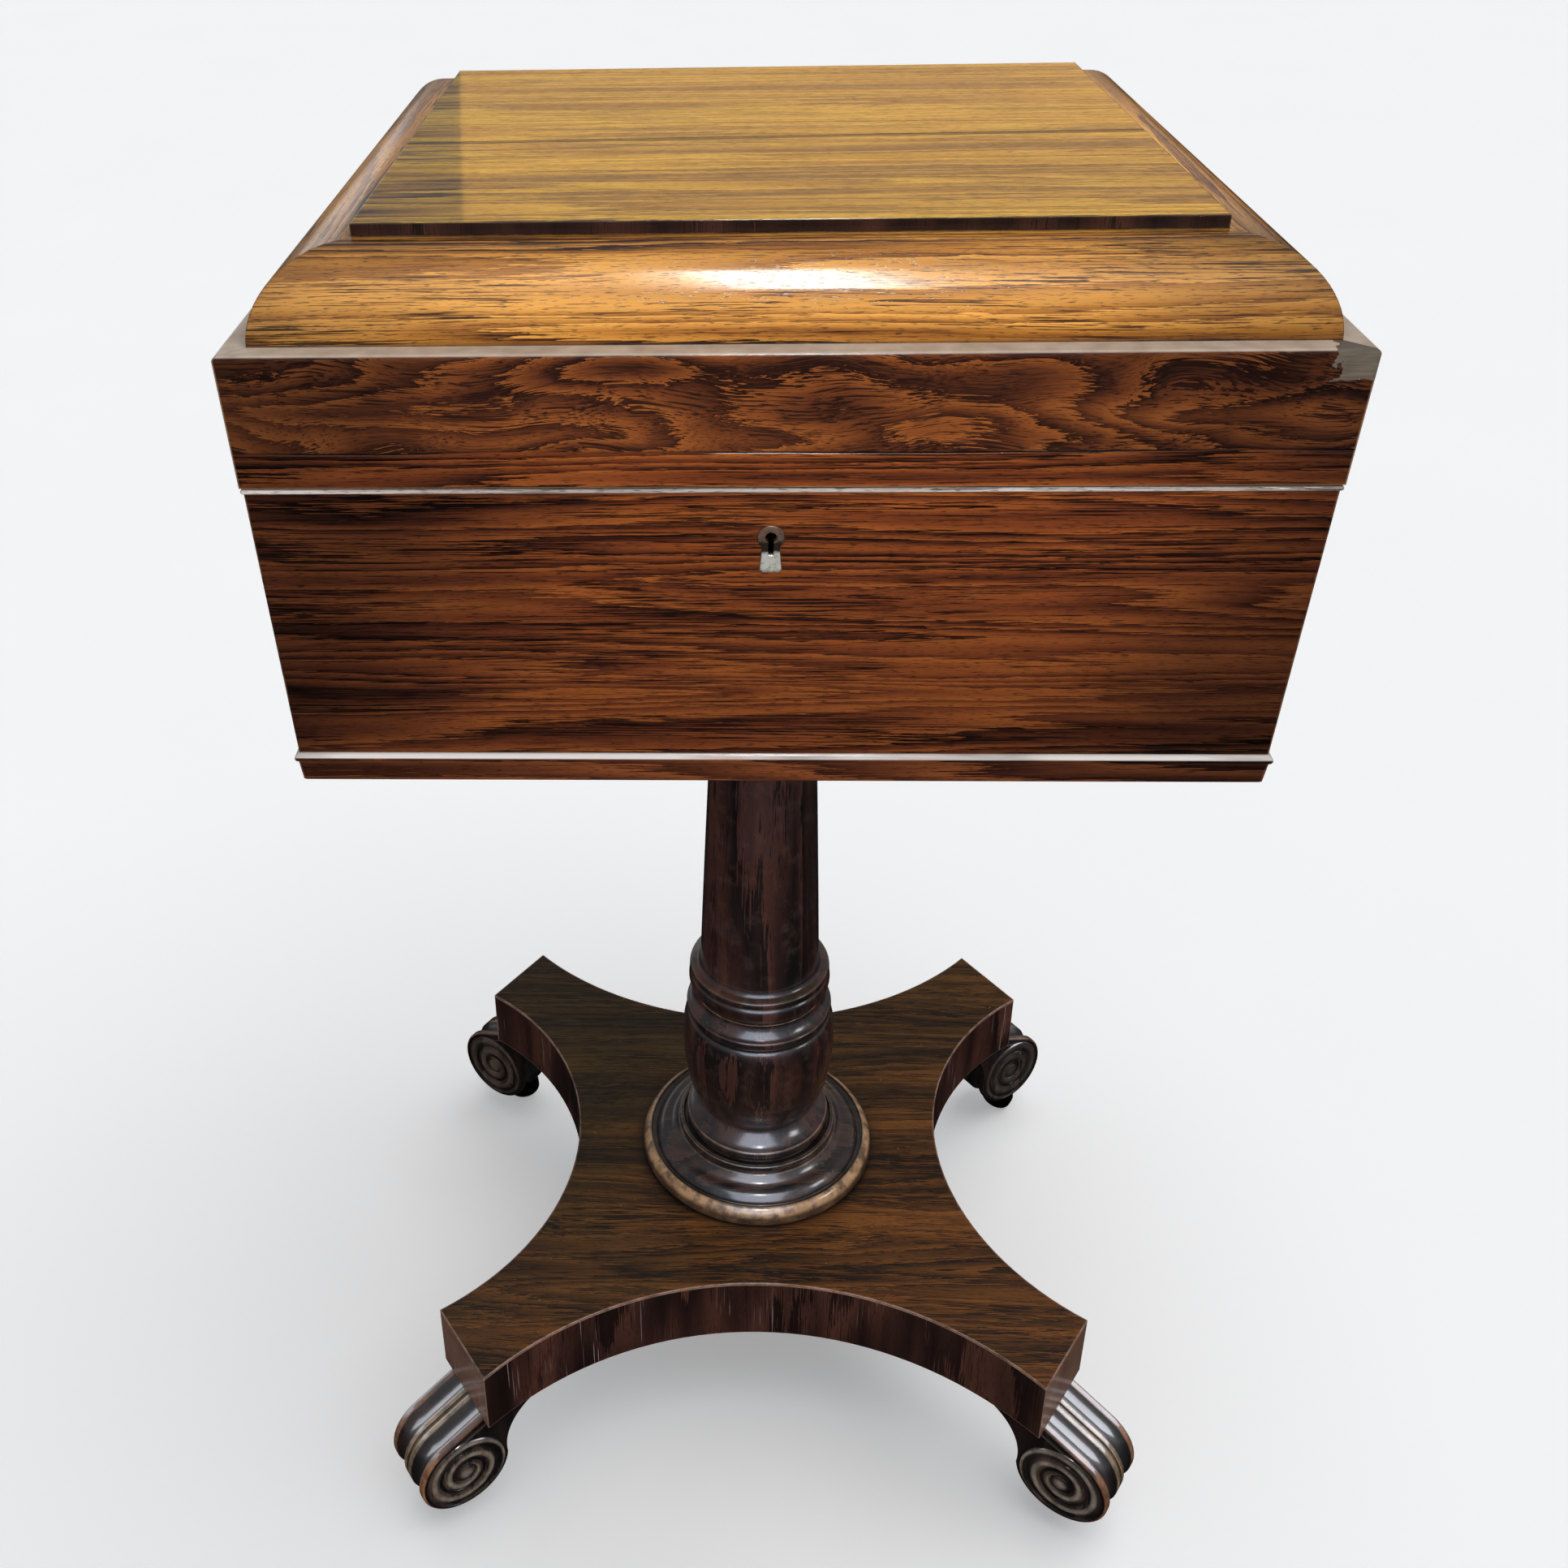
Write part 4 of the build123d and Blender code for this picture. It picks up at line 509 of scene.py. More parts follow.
def turned_rosewood(name, timber, along):
    """Turned rosewood: fillets pale with wear and painted highlights, dull patches, dirt and painted shade in
    the quirks, and a pale crest on the rim, worn and with a painted highlight.
    """
    material, tree = new_material(name)
    place, axes = grain_frame(tree, along)
    colour, holes = grain(tree, place, timber)
    rubbed, worn = patchy(tree, place, 11.0, span=(0.36, 0.58), share=(0.2, 0.9), detail=5.0)
    patches = add(tree, "MapRange", {0: rubbed, 1: 0.52, 2: 0.74, 3: 0.0, 4: 0.20})
    colour = laid(tree, colour, "#75584c", patches)
    flat = add(tree, "CombineXYZ", {0: axes[0], 1: axes[1]})
    radius = add(tree, "VectorMath", {0: flat}, operation="LENGTH").outputs["Value"]
    rim = add(tree, "MapRange", {0: radius, 1: DISC_R - 6.5, 2: DISC_R - 5.0})
    crest = add(tree, "MapRange", {0: axes[2], 1: PLATFORM_TOP + 6.5, 2: PLATFORM_TOP + 9.0, 3: 0.15, 4: 1.0})
    flakes = patchy(tree, place, 8.0, span=(0.40, 0.58), share=(0.25, 1.0), detail=5.0, roughness=0.6)[1]
    # pale crest along the top of the rim: wear and a painted highlight
    colour = laid(tree, colour, laid(tree, "#7a5230", "#e0b482", rubbed), rim, crest, flakes)
    near, soft = edges(tree, radius=1.3)
    # pale fillets and arrises: wear and painted highlights
    colour = laid(tree, colour, "#b59a7c", near, worn)
    # dirt and painted shade in the quirks
    colour = laid(tree, colour, SET_DIRT_AND_SHADE, hollows(tree, reach=4.0), 0.95)
    return polish(material, tree, colour, holes, TURNED_SHINE, soft)


def foot_place(corner):
    """Middle of a cut corner in millimetres, and the angle at which its foot stands out."""
    side = 1 if "right" in corner else -1
    depth = 1 if "back" in corner else -1
    return side * CUT_X, depth * CUT_Y, atan2(depth * sin(CUT_TURN), side * cos(CUT_TURN))


def carved_rosewood(corner):
    """Carved and ebonised rosewood: dirt and painted shade in the grooves, reeds rubbed to orange-brown,
    straw and grey.
    """
    material, tree = new_material(f"rosewood_carved_{corner}")
    mid_x, mid_y, turn = foot_place(corner)
    # the foot's own frame: outwards, across the foot, and up
    place = add(tree, "Mapping", {0: millimetres(tree), 1: (mid_x, mid_y, 0.0), 2: (0.0, 0.0, turn)},
                vector_type="TEXTURE")
    axes = add(tree, "SeparateXYZ", {0: place}).outputs
    upright = add(tree, "CombineXYZ", {0: axes[2], 1: axes[0], 2: axes[1]})
    colour, holes = grain(tree, upright, EBONISED)
    rubbed, worn = patchy(tree, place, 9.0, span=(0.36, 0.60), share=(0.35, 1.0))
    across = add(tree, "Math", {0: axes[1]}, operation="ABSOLUTE")
    facing = add(tree, "NewGeometry").outputs["True Normal"]
    facing = add(tree, "VectorRotate", {0: facing, "Angle": -turn}, rotation_type="Z_AXIS")
    outward = add(tree, "SeparateXYZ", {0: facing}).outputs[0]
    front = add(tree, "MapRange", {0: outward, 1: 0.1, 2: 0.4})
    # the outer reeds are rubbed orange-brown low on the scroll, and the middle one straw, where shoes pass
    outer = add(tree, "MapRange", {0: across, 1: OUTER_REED, 2: OUTER_REED + 1.5, 3: 0.0, 4: 0.9})
    low_down = add(tree, "MapRange", {0: axes[2], 1: SCROLL_Z + 11.4, 2: SCROLL_Z + 33.4, 3: 1.0, 4: 0.35})
    colour = laid(tree, colour, laid(tree, "#7c4a26", "#b98056", rubbed), outer, low_down, worn, front)
    inner = add(tree, "MapRange", {0: across, 1: MIDDLE_REED - 0.5, 2: MIDDLE_REED + 0.5, 3: 1.0, 4: 0.0})
    colour = laid(tree, colour, laid(tree, "#5e4a34", "#b39a76", rubbed), inner, worn, front)
    near, soft = edges(tree, radius=1.8)
    colour = laid(tree, colour, "#c09064", near, worn, front)
    # dirt and painted shade in the grooves
    colour = laid(tree, colour, SET_DIRT_AND_SHADE, hollows(tree, reach=5.0), 0.95)
    return polish(material, tree, colour, holes, CARVED_SHINE, soft)


def volute_rosewood(name):
    """Carved spiral: the ridge pale along its top, wear and a painted highlight, the channel beside it
    darkened, old polish and painted shade.
    """
    material, tree = new_material(name)
    place, axes = grain_frame(tree, "z")
    colour, holes = grain(tree, place, VOLUTE_WOOD)
    ridge = add(tree, "Attribute", attribute_name="ridge").outputs["Fac"]
    rubbed, worn = patchy(tree, place, 8.0, span=(0.36, 0.60), share=(0.45, 1.0))
    # pale ridge top: wear and a painted highlight along the ridge
    crest = add(tree, "MapRange", {0: ridge, 1: 0.62, 2: 1.0, 3: 0.0, 4: 0.80})
    near_front = add(tree, "MapRange", {0: axes[1], 1: -60.0, 2: 40.0, 3: 1.0, 4: 0.15})
    colour = laid(tree, colour, laid(tree, "#5f5044", "#a89a88", rubbed), crest, near_front, worn)
    # dark channel: old polish and painted shade
    channel = add(tree, "MapRange", {0: ridge, 1: 0.08, 2: 0.36, 3: 1.0, 4: 0.0})
    colour = laid(tree, colour, "#0b0807", channel, 0.55)
    return polish(material, tree, colour, holes, CARVED_SHINE)


def plain_metal(name, colour, dull, roughness, size):
    """Cast, rolled or filed metal: bright where handled, dull under clouds of tarnish about size wide."""
    material, tree = new_material(name)
    cloud, share = patchy(tree, millimetres(tree), size, span=(0.38, 0.66), share=(0.0, 1.0), detail=5.0,
                          roughness=0.6)
    tone = laid(tree, colour, dull, share)
    rough = add(tree, "MapRange", {0: cloud, 1: 0.35, 2: 0.70, 3: roughness, 4: roughness + 0.25})
    bumped = add(tree, "Bump", {"Height": cloud, "Strength": 0.35, "Distance": 0.0003})
    shader = add(tree, "BsdfPrincipled", {"Base Color": tone, "Metallic": 1.0, "Roughness": rough,
                                          "Normal": bumped})
    add(tree, "OutputMaterial", {"Surface": shader})
    return material


# ---------------------------------------------------------------- operators
class TEAPOY_OT_case(bpy.types.Operator):
    """Veneer the body of the box, with its bead and base moulding"""
    bl_idname = "teapoy.case"
    bl_label = "Case veneers"

    def execute(self, context):
        wanted = context.scene.teapoy_timber
        straight = dict(ROSEWOOD, light=wanted.light[:], dark=wanted.dark[:], figure=wanted.figure * 1000)
        for side in SIDES:
            along = "x" if side in ("front", "back") else "y"
            half = LID_HALF_X if along == "x" else LID_HALF_Y
            # on the front the palest part, partly painted light, lies right of the middle and slants down to
            # the left
            middle, lean = (75.0, 0.55) if side == "front" else (0.0, 0.0)
            give(f"body_{side}", veneer(f"rosewood_straight_{side}", straight, along, SATIN,
                                        ends=(half, 0.32, middle, lean, 0.66)))
        # a painted highlight: a bright line between the lid and the box
        give("rim_bead", veneer("rosewood_rim_bead_painted_highlight", PAINTED_HIGHLIGHT_BEAD_WOOD, "mitred", SATIN, wear="#d8cdc4"))
        give("base_moulding", self.base_moulding())
        return {"FINISHED"}

    def base_moulding(self):
        """Base moulding in darker rosewood, whose top bead is painted almost white as a highlight, in broken
        lengths.
        """
        material, tree = new_material("rosewood_base_moulding")
        place, axes = grain_frame(tree, "mitred")
        colour, holes = grain(tree, place, MOULDING_WOOD)
        colour = shaded_ends(tree, place, colour, LID_HALF_X, 0.5)
        near, soft = edges(tree, radius=1.0)
        colour = laid(tree, colour, "#a4765a", near, 0.5)
        # painted highlight: the top bead laid almost white in broken lengths
        bead_foot = MOULDING_TOP - BEAD_H
        bead = add(tree, "MapRange", {0: axes[2], 1: bead_foot - 0.3, 2: bead_foot + 0.3})
        rubbed = stretched(tree, place, 60, 8, 3.0)
        broken = add(tree, "MapRange", {0: rubbed, 1: 0.32, 2: 0.50, 3: 0.55, 4: 1.0})
        colour = laid(tree, colour, "#e6dcd6", bead, broken)
        # dirt and painted shade in the joints
        colour = laid(tree, colour, DIRT_AND_SHADE, hollows(tree, reach=2.5), 0.9)
        return polish(material, tree, colour, holes, SATIN, soft)


class TEAPOY_OT_lid(bpy.types.Operator):
    """Veneer the lid: figured frieze, cushion moulding and sun-faded top"""
    bl_idname = "teapoy.lid"
    bl_label = "Lid veneers"

    def execute(self, context):
        for side in SIDES:
            along = "x" if side in ("front", "back") else "y"
            give(f"lid_frieze_{side}", self.frieze(side, along))
        give("cushion_moulding", veneer("rosewood_cushion", CUSHION, "mitred", CUSHION_SHINE, wear="#8a8078",
                                        ends=(LID_HALF_X, 0.5)))
        give("lid_top_panel", self.top_panel())
        give("lid_top_board", veneer("mahogany_lid_board", CARCASS, "x", DULL))
        return {"FINISHED"}

    def frieze(self, side, along):
        """Figured veneer over a straight strip, a shoulder painted pale for dust and as a painted reflection,
        and on the front one chip in its corner.
        """
        material, tree = new_material(f"rosewood_figured_{side}")
        place, axes = grain_frame(tree, along)
        colour, holes = grain(tree, place, FIGURED)
        wobble = stretched(tree, place, 120, 30, 2.0)
        level = add(tree, "Math", {0: wobble, 1: SEAM_WANDER, 2: axes[2]}, operation="MULTIPLY_ADD")
        seam = LID_FOOT + STRIP_H + SEAM_WANDER / 2
        strip = add(tree, "MapRange", {0: level, 1: seam - 0.2, 2: seam + 0.2, 3: 1.0, 4: 0.0})
        colour = laid(tree, colour, grain(tree, place, ROSEWOOD)[0], strip)
        colour = shaded_ends(tree, place, colour, LID_HALF_X if along == "x" else LID_HALF_Y, 0.40)
        from_seam = add(tree, "Math", {0: level, 1: seam}, operation="SUBTRACT")
        open_here = add(tree, "MapRange", {0: wobble, 1: 0.40, 2: 0.55, 3: 0.15, 4: 0.9})
        gap = add(tree, "Math", {0: hairline(tree, from_seam, 0.5), 1: open_here}, operation="MULTIPLY")
        colour = laid(tree, colour, "#0c0504", gap)
        # the shoulder that looks up is painted pale: dust and a painted reflection of the bright room
        dust_and_painted_sheen = add(tree, "TexNoise", {"Vector": place, "Scale": 1 / 9.0, "Detail": 5.0})
        colour = laid(tree, colour, laid(tree, "#a58f7b", "#ecd9c4", dust_and_painted_sheen), upward(tree))
        near, soft = edges(tree, radius=0.9)
        colour = laid(tree, colour, "#c09a7c", near, 0.75)
        height = add(tree, "Math", {0: gap, 1: -0.4}, operation="MULTIPLY")
        if side == "front":
            ragged = add(tree, "TexNoise", {"Vector": place, "Scale": 1 / 6.0, "Detail": 4.0,
                                            "Roughness": 0.6})
            left = add(tree, "Math", {0: ragged, 1: CHIP_RAGGED[0], 2: axes[0]}, operation="MULTIPLY_ADD")
            foot = add(tree, "Math", {0: ragged, 1: CHIP_RAGGED[1], 2: axes[2]}, operation="MULTIPLY_ADD")
            chip_left = LID_HALF_X - CHIP_W + CHIP_RAGGED[0] / 2
            chip_foot = SHOULDER - CHIP_H + CHIP_RAGGED[1] / 2
            beyond = add(tree, "MapRange", {0: left, 1: chip_left - 0.25, 2: chip_left + 0.25})
            above = add(tree, "MapRange", {0: foot, 1: chip_foot - 0.25, 2: chip_foot + 0.25})
            chip = add(tree, "Math", {0: beyond, 1: above}, operation="MULTIPLY")
            bare = stretched(tree, place, 12, 1.2, 3.0)
            colour = laid(tree, colour, laid(tree, "#3d342c", "#8a7d6d", bare), chip)
            height = add(tree, "Math", {0: chip, 1: -0.8, 2: height}, operation="MULTIPLY_ADD")
        return polish(material, tree, colour, holes, SATIN, soft, height)

    def top_panel(self):
        """Sun-faded top, its gold partly a painted reflection, with a dark crossband along each edge face and
        one long shrinkage crack.
        """
        material, tree = new_material("rosewood_faded_top")
        place, axes = grain_frame(tree, "x")
        colour, holes = grain(tree, place, FADED_WITH_PAINTED_REFLECTION)
        # browner towards the back, and there a little greener on the left
        rightward = add(tree, "MapRange", {0: axes[0], 1: -60.0, 2: 60.0})
        backward = add(tree, "MapRange", {0: axes[1], 1: -60.0, 2: 130.0})
        far = add(tree, "Mix", {0: rightward, 4: (0.74, 0.79, 0.62), 5: (0.80, 0.76, 0.70)},
                  data_type="VECTOR")
        tint = add(tree, "Mix", {0: backward, 4: (1.04, 1.04, 1.0), 5: far.outputs[1]}, data_type="VECTOR")
        colour = add(tree, "VectorMath", {0: colour, 1: tint.outputs[1]}, operation="MULTIPLY").outputs[0]
        upright = add(tree, "CombineXYZ", {0: axes[2], 1: axes[0], 2: axes[1]})
        colour = laid(tree, grain(tree, upright, CROSSBAND)[0], colour, upward(tree))
        near, soft = edges(tree, radius=0.8)
        rubbed = patchy(tree, place, 14.0, span=(0.42, 0.60), share=(0.1, 0.8), roughness=0.7)[1]
        colour = laid(tree, colour, "#c9a070", near, rubbed)
        wobble = stretched(tree, place, 60, 200, 4.0)
        line = add(tree, "Math", {0: axes[0], 1: CRACK_SLOPE, 2: -CRACK_Y}, operation="MULTIPLY_ADD")
        line = add(tree, "Math", {0: axes[1], 1: line}, operation="SUBTRACT")
        line = add(tree, "Math", {0: wobble, 1: CRACK_WANDER, 2: line}, operation="MULTIPLY_ADD")
        crack = hairline(tree, line, CRACK_HALF)
        colour = laid(tree, colour, "#140a05", crack, 0.9)
        depth = add(tree, "Math", {0: crack, 1: -0.5}, operation="MULTIPLY")
        return polish(material, tree, colour, holes, MIRROR, soft, depth)


class TEAPOY_OT_pedestal(bpy.types.Operator):
    """Finish the column, the turned disc and the platform"""
    bl_idname = "teapoy.pedestal"
    bl_label = "Column and platform"

    def execute(self, context):
        self.column(turned_rosewood("rosewood_turned_column", PURPLE, "z"))
        self.disc(turned_rosewood("rosewood_turned_disc", DISC_WOOD, "x"))
        give("platform_top_veneer", self.platform_top())
        give("platform_core", self.platform_edge())
        give("bearer_block", veneer("mahogany_bearer", CARCASS, "x", DULL))
        give("foot_dowels", veneer("beech_dowels", CARCASS, "z", DULL))
        # filed steel, dulled: grey with a soft gleam
        give("bearer_screws", plain_metal("steel_bearer_screws", "#8d8a86", "#4b4642", 0.35, 4))
        return {"FINISHED"}

    def platform_top(self):
        """Platform veneer: olive brown and darker at the back left, warmed by the sun and lighter at the
        front right; the change is partly painted shade and painted light.
        """
        material, tree = new_material("rosewood_platform_top")
        place, axes = grain_frame(tree, "x")
        colour, holes = grain(tree, place, OLIVE)
        # warmth is 0.75 x - 0.90 y + 220 times a drifting noise + 40: olive and darker at 40, warm and
        # lighter at 290, partly painted shade and light
        drift = stretched(tree, place, 120, 60, 3.0)
        warm = add(tree, "Math", {0: axes[0], 1: 0.75, 2: 40.0}, operation="MULTIPLY_ADD")
        warm = add(tree, "Math", {0: axes[1], 1: -0.90, 2: warm}, operation="MULTIPLY_ADD")
        warm = add(tree, "Math", {0: drift, 1: 220.0, 2: warm}, operation="MULTIPLY_ADD")
        warm = add(tree, "MapRange", {0: warm, 1: 40.0, 2: 290.0})
        tint = add(tree, "Mix", {0: warm, 4: (0.50, 0.68, 0.60), 5: (1.35, 1.20, 0.95)}, data_type="VECTOR")
        colour = add(tree, "VectorMath", {0: colour, 1: tint.outputs[1]}, operation="MULTIPLY").outputs[0]
        near, soft = edges(tree, radius=1.8)
        rubbed = patchy(tree, place, 10.0, span=(0.38, 0.58), share=(0.35, 1.0), roughness=0.7)[1]
        colour = laid(tree, colour, "#c9a595", near, rubbed)
        nicks = patchy(tree, place, 5.0, span=(0.72, 0.76), share=(0.0, 0.5), detail=3.0, roughness=0.6)[1]
        colour = laid(tree, colour, "#a08670", nicks)
        # painted shade round the disc and in corners, with some dirt
        colour = laid(tree, colour, DIRT_AND_SHADE, hollows(tree, reach=12.0), 0.85)
        return polish(material, tree, colour, holes, RUBBED, soft)

    def platform_edge(self):
        """Crossbanded edge with fine pale cracks, and a paler pinkish brown on the cut corners: rubbed wood
        and painted light on those facets.
        """
        material, tree = new_material("rosewood_platform_edge")
        place, axes = grain_frame(tree, "z")
        colour, holes = grain(tree, place, CROSSBAND)
        # a cut corner is far from the middle and faces straight away from it
        flat = add(tree, "CombineXYZ", {0: axes[0], 1: axes[1]})
        out = add(tree, "VectorMath", {0: flat}, operation="NORMALIZE")
        facing = add(tree, "NewGeometry").outputs["True Normal"]
        outward = add(tree, "VectorMath", {0: facing, 1: out}, operation="DOT_PRODUCT").outputs["Value"]
        cut = add(tree, "MapRange", {0: outward, 1: 0.85, 2: 0.92, 3: 0.0, 4: 0.75})
        sideways = add(tree, "Math", {0: axes[0]}, operation="ABSOLUTE")
        far = add(tree, "Math", {0: sideways, 1: CUT_X - 26.0}, operation="GREATER_THAN")
        blotch = add(tree, "TexNoise", {"Vector": place, "Scale": 1 / 25.0, "Detail": 4.0, "Roughness": 0.6})
        # paler pinkish brown on the cut corners: rubbed wood and painted light on those facets
        colour = laid(tree, colour, laid(tree, "#4c3328", "#8f6a56", blotch), cut, far)
        fine = stretched(tree, place, 60, 0.9, 1.0)
        gather = stretched(tree, place, 60, 30, 1.0)
        cracks = add(tree, "MapRange", {0: fine, 1: 0.66, 2: 0.72, 3: 0.0, 4: 0.6})
        gathered = add(tree, "MapRange", {0: gather, 1: 0.48, 2: 0.60})
        colour = laid(tree, colour, "#a89088", cracks, gathered)
        near, soft = edges(tree, radius=0.9)
        colour = laid(tree, colour, "#b08878", near, 0.7)
        return polish(material, tree, colour, holes, SATIN, soft)

    def column(self, material):
        """The turned column, member by member from the disc up to the bearer block."""
        foot = DISC_TOP
        shaft_top = BEARER_FOOT - CAP_NECK_H
        cap_foot = BEARER_FOOT - CAP_H
        astragal = shaft_top + ASTRAGAL_H
        shaft_foot = (SHAFT_FOOT_R + 0.7, foot + 134.0)
        profile = np.vstack((
            member((44.0, foot), (43.6, foot + 2.6), -0.6, 6),               # quirk over the disc
            member((45.2, foot + 2.8), (45.4, foot + 8.4), 0.8, 8),          # foot ring
            member((45.2, foot + 8.8), (35.8, foot + 20.0), -3.2, 20),       # hollow neck
            member((36.4, foot + 20.6), (43.4, foot + 92.2), 7.2, 36),       # bulb
            member((42.2, foot + 92.8), (44.6, foot + 94.4), 0.0, 3),        # lip of the ring over it
            member((44.8, foot + 94.6), (44.8, foot + 99.6), 0.6, 8),        # ring
            member((44.4, foot + 99.8), (39.0, foot + 109.6), -2.4, 16),     # cavetto
            member((40.2, foot + 110.0), (40.6, foot + 113.0), -0.4, 5),     # groove
            member((41.2, foot + 113.6), (41.6, foot + 124.0), 2.4),         # collar
            member((42.6, foot + 124.6), (42.4, foot + 129.4), 0.8, 8),      # top ring
            member((38.4, foot + 129.8), shaft_foot, -0.6, 8),               # cove into the shaft
            member(shaft_foot, (SHAFT_TOP_R, shaft_top), 0.5, 24),
            member((SHAFT_TOP_R, shaft_top), (SHAFT_TOP_R, astragal), ASTRAGAL_OUT),
            member((SHAFT_TOP_R, astragal), (CAP_R - 3.0, cap_foot), -2.4),  # cove under the cap
            member((CAP_R - 0.8, cap_foot), (CAP_R - 0.8, BEARER_FOOT), 0.8)))
        piece = new_piece("turned_column", *lathe(profile, LATHE_SIDES), "stand", "rosewood_dark", material)
        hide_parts("column")

    def disc(self, material):
        """The turned disc under the column: a worn rim roll, a quirk, an ogee, and a fillet at the top."""
        foot = PLATFORM_TOP
        profile = np.vstack((
            member((73.0, foot), (69.8, foot + 12.4), 3.6, 20),
            np.array(((69.2, foot + 10.6), (66.6, foot + 10.0))),
            ogee((66.2, foot + 11.6), (51.4, foot + 20.8), 1.5),
            member((50.8, foot + 20.8), (50.2, foot + 26.0), 0.3, 6),
            np.array(((48.2, foot + 26.4), (47.2, DISC_TOP), (44.0, DISC_TOP)))))
        piece = new_piece("turned_foot_disc", *lathe(profile, LATHE_SIDES), "stand", "rosewood_dark",
                          material)
        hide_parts("turned_disc")


class TEAPOY_OT_feet(bpy.types.Operator):
    """Finish the carved feet and the castors"""
    bl_idname = "teapoy.feet"
    bl_label = "Feet and castors"

    def execute(self, context):
        spiral = volute_rosewood("rosewood_carved_volute")
        for corner in CORNERS:
            give(f"scroll_foot_{corner}", carved_rosewood(corner))
            self.volutes(corner, spiral)
        # cast brass, dark with age and floor wax: brown with a low gleam
        brass = plain_metal("brass_castor", "#5e4c2e", "#1d1711", 0.35, 9)
        for node in ["castor_plates"] + [f"castor_{p}_{c}" for p in ("fork", "wheel") for c in CORNERS]:
            give(node, brass)
        return {"FINISHED"}

    def volutes(self, corner, material):
        """Both cheeks of one scroll, carved with a ridge that winds in to a button.

        On a polar grid of radius r and angle a, the wave is cos squared of pi times
        (r - outer ridge) / pitch + (quarter turn - a) / full turn, to a power that narrows the grooves, so
        its crest comes in by one pitch a turn. Within the button's radius the height is a dome. One point
        closes the middle, and a second one behind it closes the back.
        """
        radius = np.linspace(0.0, VOLUTE_R, VOLUTE_RINGS + 1)[1:, None]
        angle = np.linspace(0, 2 * pi, LATHE_SIDES, endpoint=False)
        winding = (radius - RIDGE_R) / RIDGE_PITCH + (pi / 2 - angle) / (2 * pi)
        wave = (np.cos(pi * winding) ** 2) ** RIDGE_POWER
        wave *= np.clip((VOLUTE_R - radius) / RIDGE_RAMP, 0, 1)
        wave *= np.clip((radius - BUTTON_R) / BUTTON_RAMP, 0, 1)
        dome = np.sqrt(np.clip(1 - (radius / BUTTON_R) ** 2, 0, 1)) + 0 * angle
        ridge = np.where(radius < BUTTON_R, dome, wave)
        stand = VOLUTE_SUNK + VOLUTE_RISE * ridge
        stand[-1] = -VOLUTE_UNDER
        ridge = np.append(ridge, (1.0, 0.0))
        stand = np.append(stand, (VOLUTE_SUNK + VOLUTE_RISE, -VOLUTE_UNDER))
        out = SCROLL_OUT + np.append(radius * np.cos(angle), (0.0, 0.0))
        up = SCROLL_Z + np.append(radius * np.sin(angle), (0.0, 0.0))
        mid_x, mid_y, turn = foot_place(corner)
        points, faces = [], []
        for cheek in (-1, 1):
            across = cheek * (FOOT_HALF + stand)
            first = len(stand) * len(points)
            points.append(np.column_stack((mid_x + out * cos(turn) - across * sin(turn),
                                           mid_y + out * sin(turn) + across * cos(turn), up)))
            faces += [(group + first)[:, ::cheek] for group in round_faces(VOLUTE_RINGS, LATHE_SIDES)]
        piece = new_piece(f"volutes_{corner}", np.vstack(points) / 1000, faces, "stand", "rosewood_carved",
                          material)
        kept = piece.data.attributes.new("ridge", "FLOAT", "POINT")
        kept.data.foreach_set("value", np.tile(ridge, 2).astype(np.float32))


class TEAPOY_OT_fittings(bpy.types.Operator):
    """Finish the lock, the keyhole escutcheon and the hinges"""
    bl_idname = "teapoy.fittings"
    bl_label = "Lock and hinges"

    def execute(self, context):
        # rolled brass, kept dry inside: yellow with brown clouds
        brass = plain_metal("brass_rolled", "#b08a48", "#5d4524", 0.28, 7)
        for node in ("strike_plate", "strike_staples", "hinge_leaves_lower", "hinge_leaves_upper",
                     "hinge_pins"):
            give(node, brass)
        # the same brass left to tarnish behind the keyhole: nearly black
        give("lock_case", plain_metal("brass_lock_tarnished", "#33281a", "#0e0a07", 0.5, 6))
        # filed steel: grey, brighter where it slides or a driver has turned it
        steel = plain_metal("steel_filed", "#9b9894", "#55504b", 0.3, 5)
        for node in ("lock_bolt", "hinge_screws_lower", "hinge_screws_upper"):
            give(node, steel)
        give("keyhole_escutcheon", self.escutcheon())
        return {"FINISHED"}

    def escutcheon(self):
        """Nickel keyhole liner: brown round the hole, black at its neck, painted near white at its lower end:
        rubbed nickel with a painted highlight.
        """
        material, tree = new_material("nickel_escutcheon")
        place = millimetres(tree)
        height = add(tree, "SeparateXYZ", {0: place}).outputs[2]
        liner_mottle, speckle = patchy(tree, place, 2.2, span=(0.3, 0.7), share=(0.75, 1.25), roughness=0.7)
        ragged = add(tree, "Math", {0: liner_mottle, 1: BAND_CREEP, 2: height}, operation="MULTIPLY_ADD")
        foot, head = KEYHOLE_FOOT + BAND_CREEP / 2, KEYHOLE_TOP + BAND_CREEP / 2
        level = add(tree, "MapRange", {0: ragged, 1: foot, 2: head})
        # the near white band low on the liner is rubbed nickel with a painted highlight
        tone = add(tree, "ValToRGB", {0: level}, stops=[
            (0.0, "#b9a78f"), (0.10, "#fffdf0"), (0.40, "#fffdf0"), (0.47, "#3d342b"), (0.62, "#3d342b"),
            (0.70, "#80695a"), (1.0, "#9a7d69")])
        colour = add(tree, "VectorMath", {0: tone, "Scale": speckle}, operation="SCALE").outputs[0]
        soft = edges(tree, radius=1.0)[1]
        rough = add(tree, "MapRange", {0: liner_mottle, 1: 0.35, 2: 0.70, 3: 0.25, 4: 0.50})
        bumped = add(tree, "Bump", {"Height": liner_mottle, "Strength": 0.4, "Distance": 0.0003, "Normal": soft})
        shader = add(tree, "BsdfPrincipled", {"Base Color": colour, "Metallic": 0.6, "Roughness": rough,
                                              "Normal": bumped})
        add(tree, "OutputMaterial", {"Surface": shader})
        return material


